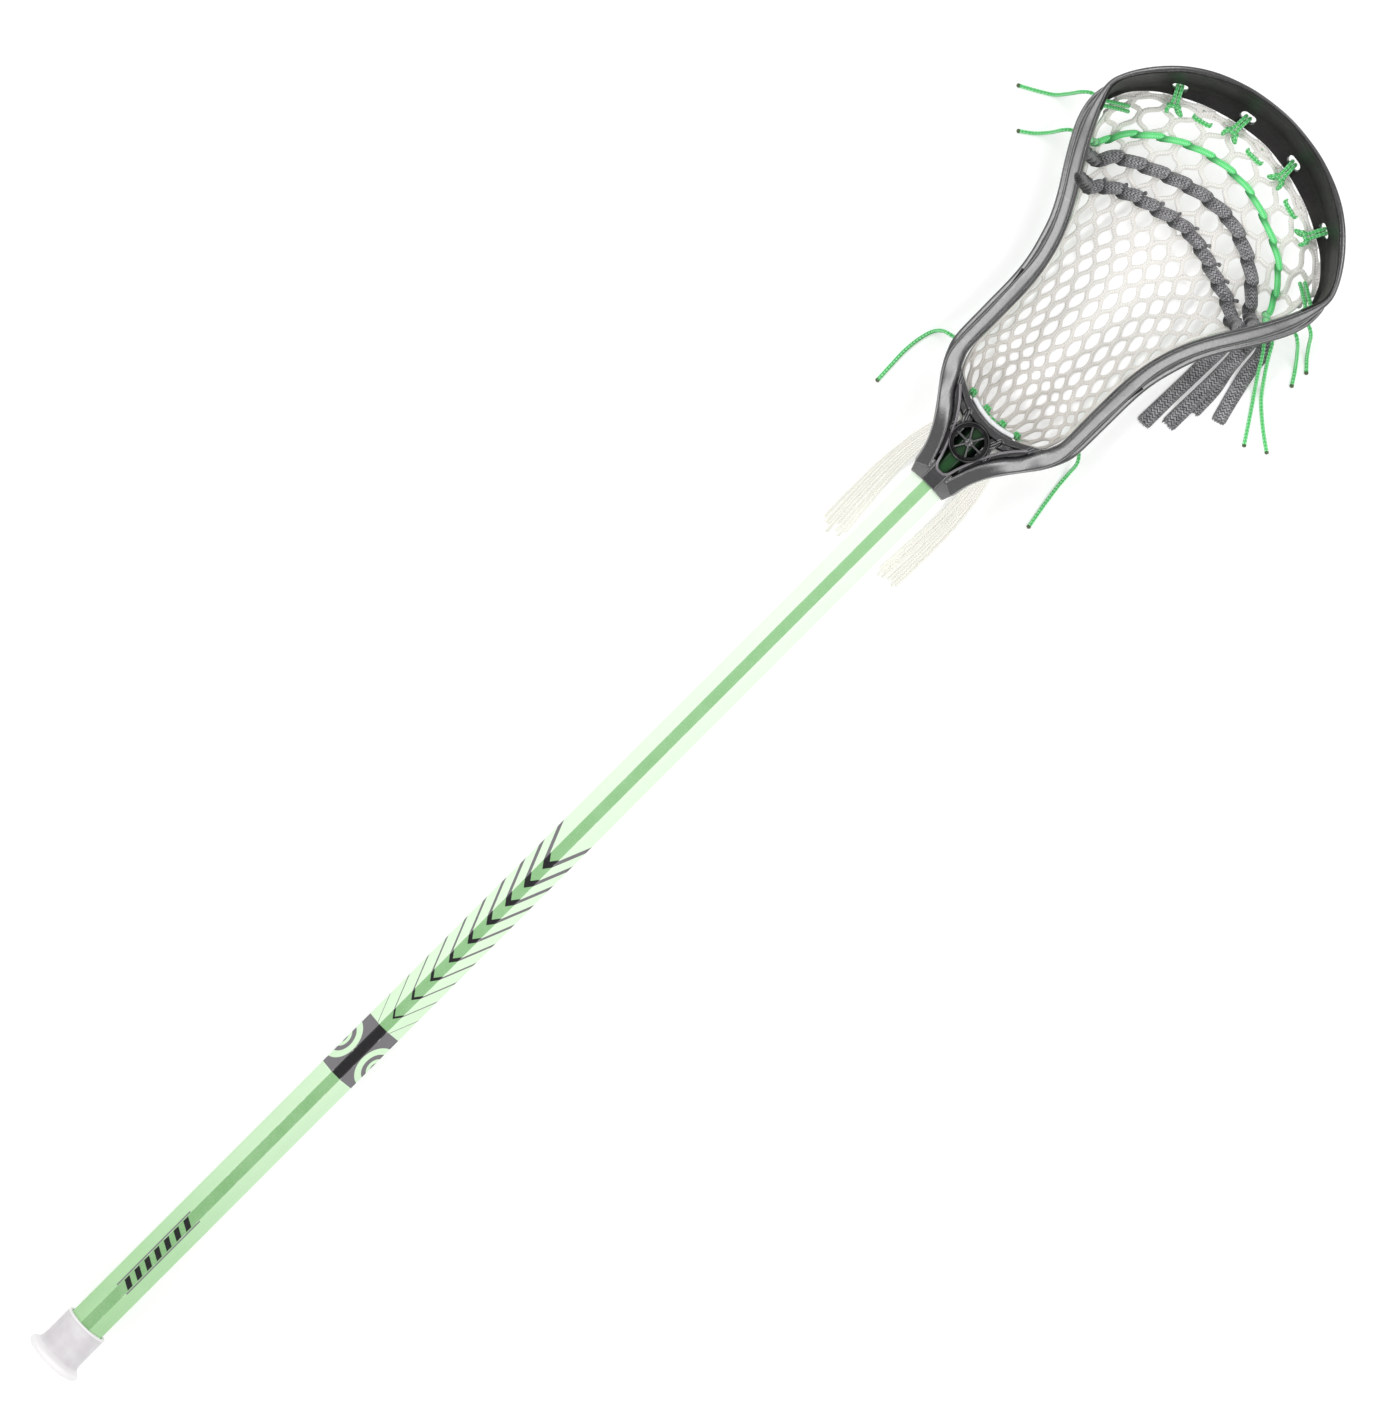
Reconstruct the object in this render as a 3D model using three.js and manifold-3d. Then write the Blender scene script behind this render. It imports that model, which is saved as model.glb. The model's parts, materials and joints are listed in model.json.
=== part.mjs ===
// Lacrosse stick: hollow eight-sided handle, rubber butt cap, moulded head, knitted mesh pocket and its strings.
// Units are millimetres. The design frame has +X along the handle from butt to scoop, +Z towards the open face
// of the head and Y across it. The whole stick is then tipped so that the butt cap's flange and the bottom of
// the pocket both rest on the plane Z = 0.
import * as THREE from 'three';
import { mergeVertices } from 'three/addons/utils/BufferGeometryUtils.js';
import Module from 'manifold-3d';

const wasm = await Module();
wasm.setup();

// ---------------------------------------------------------------- driving dimensions
const SHAFT_FLATS = 22.8;        // across the narrow flats
const SHAFT_FLAT_HALF = 3.35;    // half width of a narrow flat
const SHAFT_WALL = 1.1;
const SHAFT_START = 3.9;
const SHAFT_END = 765.5;         // 761.6 mm: a 30 inch handle
const GAP = 0.3;                 // clearance between touching pieces
const CAP_LENGTH = 29;
const CAP_SLEEVE_R = 13.9;
const CAP_FLANGE_R = 18.5;
const TIP_DEG = 2.46;            // tilt that sets flange and pocket on the same plane
const FLOOR_AT_BUTT = -18.33;    // height of that plane below the handle's axis at X = 0
const STRING_D = 2.2;
const NYLON_D = 4.6;
const LACE_D = 6.8;
const LACE_W = 9.4;
const LACE_T = 1.6;
const TAIL_D = 2.4;
const MESH_T = 2.0;
const RING_X = 754.7, RING_R = 11.9, RING_R_IN = 8.9;

const TAN = Math.tan(THREE.MathUtils.degToRad(TIP_DEG));
const floorZ = (x) => FLOOR_AT_BUTT - x * TAN;

// Rail stations from the collar to the scoop's tip, left side (+Y): plan points of the top rail's outer and inner
// edge, of the lower rail's outer and inner edge, then top height, bottom height, outer edge chamfer.
const RAIL = [
  [725.3, 14.7, 729.3, 5.2, 727.0, 15.2, 731.1, 5.6, 15.0, -15.0, 8.0],
  [736.2, 17.2, 738.6, 8.1, 738.1, 17.6, 740.6, 7.9, 15.0, -15.5, 6.5],
  [746.1, 21.4, 749.6, 12.4, 748.2, 22.0, 751.6, 13.0, 14.5, -17.0, 5.0],
  [755.4, 26.9, 760.1, 18.5, 757.8, 28.1, 762.2, 20.0, 13.5, -20.0, 3.5],
  [764.8, 33.9, 770.0, 26.6, 767.5, 35.1, 772.6, 28.0, 12.0, -24.0, 2.0],
  [774.2, 40.5, 779.4, 31.6, 776.6, 41.6, 780.9, 34.4, 10.5, -28.5, 1.0],
  [784.2, 45.0, 787.7, 35.9, 787.0, 47.0, 789.8, 39.5, 9.0, -32.5, 0.0],
  [794.8, 46.5, 795.9, 38.0, 797.9, 50.0, 798.9, 42.0, 7.5, -36.0, 0.0],
  [817.1, 46.7, 817.1, 38.0, 821.2, 50.6, 821.2, 42.6, 5.0, -39.5, 0.0],
  [840.5, 47.6, 840.5, 38.3, 844.9, 51.0, 844.9, 43.0, 3.0, -41.5, 0.0],
  [856.9, 48.7, 858.0, 40.1, 860.3, 52.7, 861.4, 44.8, 2.0, -42.0, 0.0],
  [870.9, 51.7, 873.8, 43.9, 874.5, 56.3, 877.2, 48.8, 1.5, -42.0, 0.0],
  [884.2, 56.9, 887.6, 49.4, 887.3, 60.7, 890.7, 53.4, 2.0, -41.5, 0.0],
  [896.7, 63.6, 901.4, 56.9, 900.2, 67.4, 904.7, 60.9, 3.5, -40.5, 0.0],
  [909.7, 71.9, 914.4, 65.0, 912.9, 75.6, 917.4, 69.0, 6.0, -39.0, 0.0],
  [922.6, 79.4, 926.7, 72.4, 925.5, 83.2, 929.5, 76.3, 9.0, -36.5, 0.0],
  [935.4, 85.3, 938.9, 78.7, 938.0, 89.5, 941.7, 82.4, 12.5, -33.5, 0.0],
  [947.7, 89.0, 949.4, 83.2, 950.4, 92.4, 955.2, 84.4, 15.5, -30.0, 0.0],
  [958.8, 90.3, 958.2, 86.0, 961.9, 90.6, 962.3, 82.2, 18.5, -26.5, 0.0],
  [967.7, 87.7, 966.0, 84.5, 971.0, 84.0, 968.9, 78.7, 20.5, -23.5, 0.0],
  [977.8, 81.6, 974.9, 78.7, 978.1, 76.3, 974.9, 73.1, 22.5, -21.0, 0.0],
  [987.2, 73.7, 983.8, 70.8, 984.4, 68.6, 980.9, 65.7, 24.5, -18.5, 0.0],
  [996.2, 63.9, 992.7, 61.6, 989.0, 60.0, 985.3, 57.5, 26.0, -16.5, 0.0],
  [1004.1, 51.8, 1000.0, 50.1, 993.8, 51.1, 989.7, 49.3, 27.0, -15.0, 0.0],
  [1010.2, 37.4, 1006.8, 36.2, 998.8, 38.8, 994.5, 37.3, 28.0, -14.0, 0.0],
  [1014.4, 21.3, 1011.3, 20.7, 1003.2, 22.1, 998.8, 21.3, 28.6, -13.3, 0.0],
  [1016.4, 0.0, 1013.5, 0.0, 1005.9, 0.0, 1001.4, 0.0, 29.0, -13.0, 0.0],
];
const TIP = RAIL.length - 1;
const SCOOP_FROM = 19;
const THROAT_ARC = [[783.6, 35.2], [780.0, 29.3], [776.6, 23.2], [773.4, 16.2], [771.4, 8.7], [770.4, 0]];

// Free ends of the cords: [x, y] points; z is the height of the first points, the rest lies on the floor.
const TAILS = [
  ['string_tail_1', [[955.0, 94.3, -26.5], [951.5, 98.6, -33], [947.0, 104.0, -47], [941.6, 110.6], [936.5, 118.8], [930.5, 129.6]]],
  ['string_tail_2', [[931.3, 88.0, -32], [928.3, 91.0, -38], [923.6, 95.6, -50], [917.2, 102.4], [911.2, 110.4]]],
  ['string_tail_3', [[795.2, 50.9, -32.5], [795.6, 54.3, -36], [794.6, 58.0, -44], [790.3, 61.9], [781.0, 64.4], [770.4, 65.3], [758.5, 64.9], [746.8, 64.3]]],
  ['string_tail_4', [[798.8, -51.7, -33], [795.4, -53.7, -38.5], [788.0, -54.8, -49], [778.5, -55.6], [765.8, -57.4], [748.7, -60.4]]],
  ['string_tail_5', [[921.5, -82.9, -33], [917.0, -86.2, -38], [908.0, -92.6, -46], [898.6, -100.2], [886.1, -108.7], [873.6, -117.0]]],
  ['string_tail_6', [[926.0, -85.3, -33], [921.5, -87.9, -37], [912.8, -94.6, -48], [900.5, -104.8], [889.6, -117.0], [880.3, -129.6]]],
  ['string_tail_7', [[939.2, -91.6, -30], [937.3, -94.8, -34], [934.2, -99.6, -46], [927.6, -106.3], [918.7, -112.1]]],
  ['string_tail_8', [[947.5, -94.3, -27], [945.4, -97.6, -33], [941.6, -102.0, -48], [936.4, -107.3], [930.4, -112.9]]],
];
// The second lace lies on the third, so it keeps 2 mm above the floor as far as the third one's end.
const LACE_TAILS = [
  ['lace_tail_1', [[908.5, -65.8, -43.2], [901.5, -65.9, -46.5], [892.0, -65.8, -54.5], [881.0, -65.7], [863.0, -65.2], [841.8, -64.8]]],
  ['lace_tail_2', [[911.0, -75.4, -41.4], [903.0, -76.2, -46.0], [893.0, -76.6, -53.1], [880.0, -76.5, -52.9], [866.5, -76.3, -52.2], [858.5, -76.2], [851.5, -76.2]]],
  ['lace_tail_3', [[918.0, -75.7, -44.7], [909.0, -76.4, -48.7], [897.9, -77.8], [885.4, -80.0], [867.7, -80.9]]],
  ['lace_tail_4', [[928.0, -84.2, -41.5], [918.2, -85.6, -45.6], [906.0, -87.6, -54.0], [889.6, -91.4], [874.2, -95.4]]],
];

// ---------------------------------------------------------------- helpers
const V = (x, y, z) => new THREE.Vector3(x, y, z);
const lerp = (a, b, t) => a + (b - a) * t;

function closedGeometry(vertices, triangles) {
  const g = new THREE.BufferGeometry();
  g.setAttribute('position', new THREE.Float32BufferAttribute(vertices.flat(), 3));
  g.setIndex(triangles.flat());
  let volume = 0;
  for (const [a, b, c] of triangles) {
    const [p, q, r] = [vertices[a], vertices[b], vertices[c]];
    volume += p[0] * (q[1] * r[2] - q[2] * r[1]) + p[1] * (q[2] * r[0] - q[0] * r[2]) + p[2] * (q[0] * r[1] - q[1] * r[0]);
  }
  if (volume < 0) g.setIndex(triangles.map(([a, b, c]) => [a, c, b]).flat());
  return g;
}

// A loft through sections that all have the same number of points, with flat caps triangulated in 2-D.
function loft(sections, capStart, capEnd) {
  const n = sections[0].length, vertices = sections.flat(), triangles = [];
  for (let i = 0; i < sections.length - 1; i++) {
    for (let j = 0; j < n; j++) {
      const a = i * n + j, b = i * n + (j + 1) % n, c = a + n, d = b + n;
      triangles.push([a, c, b], [b, c, d]);
    }
  }
  // triangulateShape keeps the outline's turning sense, so each cap's sense follows from the side walls
  const edge = (base, flat, first) => {
    const tris = THREE.ShapeUtils.triangulateShape(flat.map((p) => new THREE.Vector2(...p)), []);
    let forward = false;
    for (const t of tris) for (let k = 0; k < 3; k++) if (t[k] === 0 && t[(k + 1) % 3] === 1) forward = true;
    const flip = first ? !forward : forward;
    for (const [a, b, c] of tris) triangles.push(flip ? [base + a, base + c, base + b] : [base + a, base + b, base + c]);
  };
  edge(0, capStart, true);
  edge((sections.length - 1) * n, capEnd, false);
  return closedGeometry(vertices, triangles);
}

function toManifold(geometry) {
  let g = geometry.clone();
  g.deleteAttribute('normal');
  g.deleteAttribute('uv');
  g = mergeVertices(g, 1e-4);
  return new wasm.Manifold(new wasm.Mesh({
    numProp: 3,
    vertProperties: new Float32Array(g.attributes.position.array),
    triVerts: new Uint32Array(g.index.array),
  }));
}
function fromManifold(m) {
  const mesh = m.getMesh();
  const g = new THREE.BufferGeometry();
  g.setAttribute('position', new THREE.Float32BufferAttribute(mesh.vertProperties, 3));
  g.setIndex(Array.from(mesh.triVerts));
  return g;
}
const union = (list) => list.reduce((a, b) => a.add(b));

function prism(points, z0, z1) {
  const g = new THREE.ExtrudeGeometry(new THREE.Shape(points.map((p) => new THREE.Vector2(...p))), { depth: z1 - z0, bevelEnabled: false });
  return g.translate(0, 0, z0);
}
// A prism whose outline is in Y and Z and which runs along X.
function alongX(points, x0, x1) {
  const g = new THREE.ExtrudeGeometry(new THREE.Shape(points.map((p) => new THREE.Vector2(...p))), { depth: x1 - x0, bevelEnabled: false });
  return g.applyMatrix4(new THREE.Matrix4().makeBasis(V(0, 1, 0), V(0, 0, 1), V(1, 0, 0))).translate(x0, 0, 0);
}
function cylinderZ(r, x, y, z0, z1, sides) {
  return new THREE.CylinderGeometry(r, r, z1 - z0, sides).rotateX(Math.PI / 2).translate(x, y, (z0 + z1) / 2);
}
function octagon(flats, half) {
  const a = flats / 2, b = half;
  return [[b, a], [-b, a], [-a, b], [-a, -b], [-b, -a], [b, -a], [a, -b], [a, b]];
}
// The eight-sided profile moved outwards by d on every flat.
function octagonOffset(d) {
  return octagon(SHAFT_FLATS + 2 * d, SHAFT_FLAT_HALF + d * (Math.SQRT2 - 1));
}
// A cord's route: a height that isn't given is on the floor, and no point is lower than the floor.
function route(points, lift) {
  const set = points.map(([x, y, z]) => V(x, y, z === undefined ? floorZ(x) + lift : z));
  const curve = new THREE.CatmullRomCurve3(set, false, 'centripetal');
  return Array.from({ length: 25 }, (_, i) => {
    const p = curve.getPointAt(i / 24);
    return [p.x, p.y, Math.max(p.z, floorZ(p.x) + lift)];
  });
}
function tube(points, diameter, sides, steps) {
  const circle = new THREE.Shape(Array.from({ length: sides }, (_, i) => {
    const a = 2 * Math.PI * (i + 0.5) / sides;
    return new THREE.Vector2(diameter / 2 * Math.cos(a), diameter / 2 * Math.sin(a));
  }));
  const path = new THREE.CatmullRomCurve3(points.map((p) => V(...p)), false, 'centripetal');
  return new THREE.ExtrudeGeometry(circle, { steps, bevelEnabled: false, extrudePath: path });
}
// A flat strip that follows a path and stays level from side to side.
function strip(points, width, thick, steps) {
  const path = new THREE.CatmullRomCurve3(points.map((p) => V(...p)), false, 'centripetal');
  const sections = [];
  for (let i = 0; i <= steps; i++) {
    const p = path.getPointAt(i / steps), t = path.getTangentAt(i / steps);
    const side = V(0, 0, 1).cross(t).normalize(), up = t.clone().cross(side).normalize();
    const w = Array.isArray(width) ? lerp(width[0], width[1], i / steps) : width;
    sections.push([[-1, -1], [1, -1], [1, 1], [-1, 1]].map(([a, b]) => p.clone().addScaledVector(side, a * w / 2).addScaledVector(up, b * thick / 2).toArray()));
  }
  const square = [[-1, -1], [1, -1], [1, 1], [-1, 1]];
  return loft(sections, square, square);
}

// ---------------------------------------------------------------- head frame
const mirrored = (r) => [r[0], -r[1], r[2], -r[3], r[4], -r[5], r[6], -r[7], r[8], r[9], r[10]];
const TOP_H = (i) => [4, 4, 4.5, 5, 5.5, 6][i] ?? (i >= SCOOP_FROM ? 5.5 : 6.5);
const LOW_H = (i) => [4, 4, 4.5, 5, 6, 7][i] ?? (i >= SCOOP_FROM ? 5.5 : 8);

function railSection(i, r) {
  const [ox, oy, ix, iy, bx, by, lx, ly, zt, zb, d] = r;
  const w1 = Math.hypot(ix - ox, iy - oy), w2 = Math.hypot(lx - bx, ly - by);
  const top = (f, z) => [ox + (ix - ox) * f / w1, oy + (iy - oy) * f / w1, z];
  if (i >= SCOOP_FROM) {
    // scoop: a wall that starts shallow at the string lip and steepens towards the rim
    const dl = Math.hypot(ix - lx, iy - ly), m = dl / 12;
    const low = (q, z) => [lx + (ix - lx) * q / dl, ly + (iy - ly) * q / dl, zb + z];
    return [
      top(w1, zt - 1.2), top(w1 - 0.8, zt), top(0.8, zt), top(0, zt - 1.2), top(0, zt - 5), top(0.5, zt - 7),
      low(9 * m + 2.8, 10), low(6 * m + 2.8, 4.4), low(3 * m + 2.4, 1.6), low(2.2, 0.2), low(0.9, 0), low(0, 0.9), low(0, 3.2),
      low(6 * m, 6.2), low(9 * m, 11.5), top(w1 - 0.1, zt - 7),
    ];
  }
  const low = (f, z) => [bx + (lx - bx) * f / w2, by + (ly - by) * f / w2, z];
  const ht = TOP_H(i), hb = LOW_H(i), t1 = i <= 4 ? 0.8 * w1 : Math.min(3.2, 0.8 * w1), t2 = i <= 4 ? 0.8 * w2 : 3.2;
  const a1 = (w1 - t1) / 2, a2 = (w2 - t2) / 2;
  return [
    top(w1, zt - 1.4), top(w1 - 1.3, zt - d * 1.3 / w1), top(1.3, zt - d * (1 - 1.3 / w1)), top(0, zt - d - 1.4), top(0, zt - d - ht), top(a1, zt - d - ht - 1.5),
    low(a2, zb + d + hb + 0.5), low(0, zb + d + hb - 1.5), low(0, zb + d + 1.4), low(1.3, zb + d * (1 - 1.3 / w2)), low(w2 - 1.3, zb), low(w2, zb + 1.4),
    low(w2, zb + hb - 1.5), low(w2 - a2, zb + hb + 0.5), top(w1 - a1, zt - ht - 2), top(w1, zt - ht),
  ];
}
function railRing() {
  const sections = RAIL.map((r, i) => railSection(i, r));
  for (let i = TIP - 1; i >= 0; i--) sections.push(railSection(i, mirrored(RAIL[i])));
  const flat = (s) => s.map((p) => [p[1], p[2]]);
  return loft(sections, flat(sections[0]), flat(sections[sections.length - 1]));
}
// A station between two stations, for cutters and strings.
function station(t, side = 1) {
  const i = Math.min(TIP - 1, Math.floor(t)), f = t - i;
  const r = RAIL[i].map((v, k) => lerp(v, RAIL[i + 1][k], f));
  return side > 0 ? r : mirrored(r);
}
// A window between the two rails, leaning like the struts beside it.
function windowCutter(t0, t1, lean, side) {
  const vertices = [];
  for (const out of [-9, 12]) {
    for (const [t, upper] of [[t0, 0], [t1, 0], [t1 + lean, 1], [t0 + lean, 1]]) {
      const [ox, oy, ix, iy, bx, by, lx, ly, zt, zb] = station(t, side);
      const k = upper ? 0.2 : 0.8;
      const x = lerp((ox + ix) / 2, (bx + lx) / 2, k), y = lerp((oy + iy) / 2, (by + ly) / 2, k);
      const w = Math.hypot(ox - ix, oy - iy);
      const z = upper ? zt - 11 : zb + 11.5;
      vertices.push([x + (ox - ix) / w * out, y + (oy - iy) / w * out, z]);
    }
  }
  const t = [[0, 1, 2], [0, 2, 3], [4, 6, 5], [4, 7, 6], [0, 5, 1], [0, 4, 5], [1, 6, 2], [1, 5, 6], [2, 7, 3], [2, 6, 7], [3, 4, 0], [3, 7, 4]];
  return closedGeometry(vertices, t);
}
// A slot through the scoop wall just above its lip.
function slotCutter(t, side) {
  const [, , ix, iy, , , lx, ly, , zb] = station(t, side);
  const a = station(t - 0.2, side), b = station(t + 0.2, side);
  const out = V(ix - lx, iy - ly, 0).normalize(), dl = Math.hypot(ix - lx, iy - ly), m = dl / 12;
  const along = V(b[6] - a[6], b[7] - a[7], 0).normalize();
  const slope = out.clone().multiplyScalar(6 * m).add(V(0, 0, 3.0)).normalize();
  const normal = along.clone().cross(slope).normalize();
  const w = 5.2, l = 9.6, s = new THREE.Shape();
  s.absarc(l / 2 - w / 2, 0, w / 2, -Math.PI / 2, Math.PI / 2, false);
  s.absarc(-(l / 2 - w / 2), 0, w / 2, Math.PI / 2, 3 * Math.PI / 2, false);
  const g = new THREE.ExtrudeGeometry(s, { depth: 20, bevelEnabled: false, curveSegments: 5 }).translate(0, 0, -10);
  const c = V(lx, ly, zb + 5.2).addScaledVector(out, 6.8);
  return g.applyMatrix4(new THREE.Matrix4().makeBasis(along, slope, normal).setPosition(c));
}

function headFrame() {
  const solids = [toManifold(railRing())];
  const oct = (hw, hz, half) => [[half, hz], [-half, hz], [-hw, 3.9], [-hw, -3.9], [-half, -hz], [half, -hz], [hw, -3.9], [hw, 3.9]];
  const collar = [[720.5, oct(12.7, 13.3, 4.9)], [727.2, oct(15.0, 15.0, 5.0)], [734.0, oct(15.4, 15.0, 5.2)]];
  solids.push(toManifold(loft(collar.map(([x, o]) => o.map(([y, z]) => [x, y, z])), collar[0][1], collar[2][1])));
  const half = [[729, 12], [737.5, 12.6], [748, 17], [758, 22.7], [767, 30], [777, 36.5], ...THROAT_ARC];
  const outline = [...half, ...half.slice(0, -1).reverse().map(([x, y]) => [x, -y])];
  solids.push(toManifold(prism(outline, -13.5, 8)));
  const arc = THROAT_ARC.slice(1);
  const inner = arc.map(([x, y]) => [x - 5, y * 0.93]);
  const band = [...arc, ...arc.slice(0, -1).reverse().map(([x, y]) => [x, -y]), ...inner.map(([x, y]) => [x, -y]), ...inner.slice(0, -1).reverse()];
  solids.push(toManifold(prism(band, 6, 10.6)));
  let body = union(solids);
  // socket for the handle, open at the collar and on top of the throat
  body = body.subtract(toManifold(alongX(octagonOffset(GAP), 700, SHAFT_END + 0.7)));
  const window = [[730.6, 2.6], [733, 5.2], [745, 9.6], [752, 12.6], [752, -12.6], [745, -9.6], [733, -5.2], [730.6, -2.6]];
  body = body.subtract(toManifold(prism(window, 8, 30)));
  // round plain badge over the handle's end, with six spokes and two tabs
  const disc = toManifold(cylinderZ(RING_R, RING_X, 0, 11.9, 14.4, 28)).subtract(toManifold(cylinderZ(RING_R_IN, RING_X, 0, 5, 20, 24)));
  const spoke = (a) => toManifold(new THREE.BoxGeometry(RING_R_IN + 1.5, 1.5, 1.7).translate((RING_R_IN + 1.5) / 2, 0, 12.9).rotateZ(a).translate(RING_X, 0, 0));
  const tab = (s) => toManifold(new THREE.BoxGeometry(6, 11, 2.4).translate(RING_X, s * 16.4, 13.1));
  const foot = (s) => toManifold(new THREE.BoxGeometry(5, 4, 7).translate(RING_X, s * 14.2, 9.9));
  body = union([body, disc, ...[1, 3, 5, 7, 9, 11].map((k) => spoke(k * Math.PI / 6)), tab(1), tab(-1), foot(1), foot(-1)]);
  const eye = [[759.6, 13.4], [764.6, 14.2], [763.6, 18.6]];
  for (const s of [1, -1]) body = body.subtract(toManifold(prism(eye.map(([x, y]) => [x, s * y]), -30, 30)));
  // hole and counterbore for the screw
  body = body.subtract(toManifold(cylinderZ(2.3, 742, 0, -30, 0, 16))).subtract(toManifold(cylinderZ(4.6, 742, 0, -30, -13.0, 20)));
  for (const s of [1, -1]) {
    for (const [t0, t1, lean] of [[7.15, 7.95, 0.12], [8.2, 9.05, 0.12], [9.75, 11.1, 0.3], [11.75, 13.25, 0.3], [13.9, 15.1, 0.3], [15.75, 16.65, 0.2]]) {
      body = body.subtract(toManifold(windowCutter(t0, t1, lean, s)));
    }
    for (const t of [22.05, 25.1]) body = body.subtract(toManifold(slotCutter(t, s)));
  }
  return fromManifold(body);
}

// ---------------------------------------------------------------- mesh pocket
// Plan outline of the mesh: its side edge runs inside the lower rail, its top edge inside the scoop's lip.
const inward = (r, d) => {
  const [ox, oy, ix, iy, , , lx, ly] = r, w = Math.hypot(ix - ox, iy - oy);
  return [lx + (ix - ox) / w * d, ly + (iy - oy) / w * d];
};
const SIDE_EDGE = [[780.6, 18.0, -12.5], [787.2, 27.5, -17.5]];
for (let i = 7; i <= 17; i++) SIDE_EDGE.push([...inward(RAIL[i], 4.6), RAIL[i][9] + 5]);
const TOP_EDGE = [SIDE_EDGE[SIDE_EDGE.length - 1]];
for (let i = 18; i <= TIP; i++) {
  const [, , ix, iy, , , lx, ly, , zb] = RAIL[i], dl = Math.hypot(ix - lx, iy - ly);
  TOP_EDGE.push([lx - (ix - lx) / dl * (i === 18 ? 4.4 : 5.6), ly - (iy - ly) / dl * (i === 18 ? 4.4 : 5.6), zb + 3]);
}
for (const p of TOP_EDGE.slice(0, -1).reverse()) TOP_EDGE.push([p[0], -p[1], p[2]]);
const THROAT_EDGE = [[780.6, 18.0, -12.5], [779.4, 9.0, -12], [779.0, 0, -12], [779.4, -9.0, -12], [780.6, -18.0, -12.5]];
const edgeCurve = (points) => new THREE.CatmullRomCurve3(points.map((p) => V(...p)), false, 'centripetal');
const sideCurve = edgeCurve(SIDE_EDGE), topCurve = edgeCurve(TOP_EDGE), throatCurve = edgeCurve(THROAT_EDGE);
const POCKET_DEPTH = 34;

function pocketPoint(u, v) {
  const l = sideCurve.getPointAt(u), r = V(l.x, -l.y, l.z), s = (1 - v) / 2; // v = 1 is the left side (+Y)
  const a = throatCurve.getPointAt(s), b = topCurve.getPointAt(s);
  const c00 = throatCurve.getPointAt(0), c01 = throatCurve.getPointAt(1), c10 = topCurve.getPointAt(0), c11 = topCurve.getPointAt(1);
  const p = V(0, 0, 0);
  for (const k of ['x', 'y', 'z']) {
    p[k] = lerp(l[k], r[k], s) + lerp(a[k], b[k], u) - lerp(lerp(c00[k], c01[k], s), lerp(c10[k], c11[k], s), u);
  }
  const along = Math.sin(Math.PI * Math.pow(u, 0.72)) ** 1.15, across = 1 - Math.abs(v) ** 2.4;
  const sag = p.z - POCKET_DEPTH * along * across, low = floorZ(p.x) + MESH_T / 2;
  const d = sag - low;
  p.z = low + (d > 20 ? d : Math.log(1 + Math.exp(d)));
  return p;
}
function pocketSolid(nu, nv) {
  const at = (i, j) => pocketPoint(Math.min(1, Math.max(0, i / nu)), Math.min(1, Math.max(-1, 1 - 2 * j / nv)));
  const upper = [], lower = [];
  for (let i = 0; i <= nu; i++) {
    for (let j = 0; j <= nv; j++) {
      const e = 0.02, p = at(i, j), du = at(i + e * (i < nu ? 1 : -1), j).sub(p).multiplyScalar(i < nu ? 1 : -1);
      const dv = at(i, j + e * (j < nv ? 1 : -1)).sub(p).multiplyScalar(j < nv ? 1 : -1);
      const n = dv.cross(du).normalize();
      if (n.z < 0) n.negate();
      upper.push(p.clone().addScaledVector(n, MESH_T / 2).toArray());
      lower.push(p.clone().addScaledVector(n, -MESH_T / 2).toArray());
    }
  }
  const m = nv + 1, N = upper.length, id = (i, j) => i * m + j, t = [];
  for (let i = 0; i < nu; i++) {
    for (let j = 0; j < nv; j++) {
      const [a, b, c, d] = [id(i, j), id(i + 1, j), id(i + 1, j + 1), id(i, j + 1)];
      t.push([a, d, b], [b, d, c], [a + N, b + N, d + N], [b + N, c + N, d + N]);
    }
  }
  const wall = (a, b) => t.push([a, b, b + N], [a, b + N, a + N]);
  for (let i = 0; i < nu; i++) { wall(id(i, 0), id(i + 1, 0)); wall(id(i + 1, nv), id(i, nv)); }
  for (let j = 0; j < nv; j++) { wall(id(0, j + 1), id(0, j)); wall(id(nu, j), id(nu, j + 1)); }
  return closedGeometry([...upper, ...lower], t);
}
// Points at a distance from the mesh's middle surface, square to it, over a plan route.
const grid = [];
for (let i = 0; i <= 70; i++) for (let j = 0; j <= 60; j++) grid.push([i / 70, 1 - j / 30, pocketPoint(i / 70, 1 - j / 30)]);
function overMesh(points, lift, count) {
  const plan = new THREE.CatmullRomCurve3(points.map(([x, y]) => V(x, y, 0)), false, 'centripetal');
  return Array.from({ length: count + 1 }, (_, k) => {
    const q = plan.getPointAt(k / count);
    let best = grid[0], d = Infinity;
    for (const g of grid) {
      const e = (g[2].x - q.x) ** 2 + (g[2].y - q.y) ** 2;
      if (e < d) { d = e; best = g; }
    }
    const [u, v, p] = best, e = 0.01;
    const du = pocketPoint(Math.min(1, u + e), v).sub(pocketPoint(Math.max(0, u - e), v));
    const dv = pocketPoint(u, Math.min(1, v + e)).sub(pocketPoint(u, Math.max(-1, v - e)));
    const n = du.cross(dv).normalize();
    if (n.z < 0) n.negate();
    const z = p.z - (n.x * (q.x - p.x) + n.y * (q.y - p.y)) / n.z;
    return [q.x + n.x * lift, q.y + n.y * lift, z + n.z * lift];
  });
}

// ---------------------------------------------------------------- pieces
const stick = new THREE.Group();
stick.name = 'lacrosse_stick';
const inner = new THREE.Group();
stick.add(inner);
const cordNodes = new Set();

function piece(name, geometry, color, roughness, metalness = 0) {
  const mesh = new THREE.Mesh(geometry, new THREE.MeshStandardMaterial({ color, roughness, metalness }));
  mesh.name = name;
  inner.add(mesh);
  return mesh;
}

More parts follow.
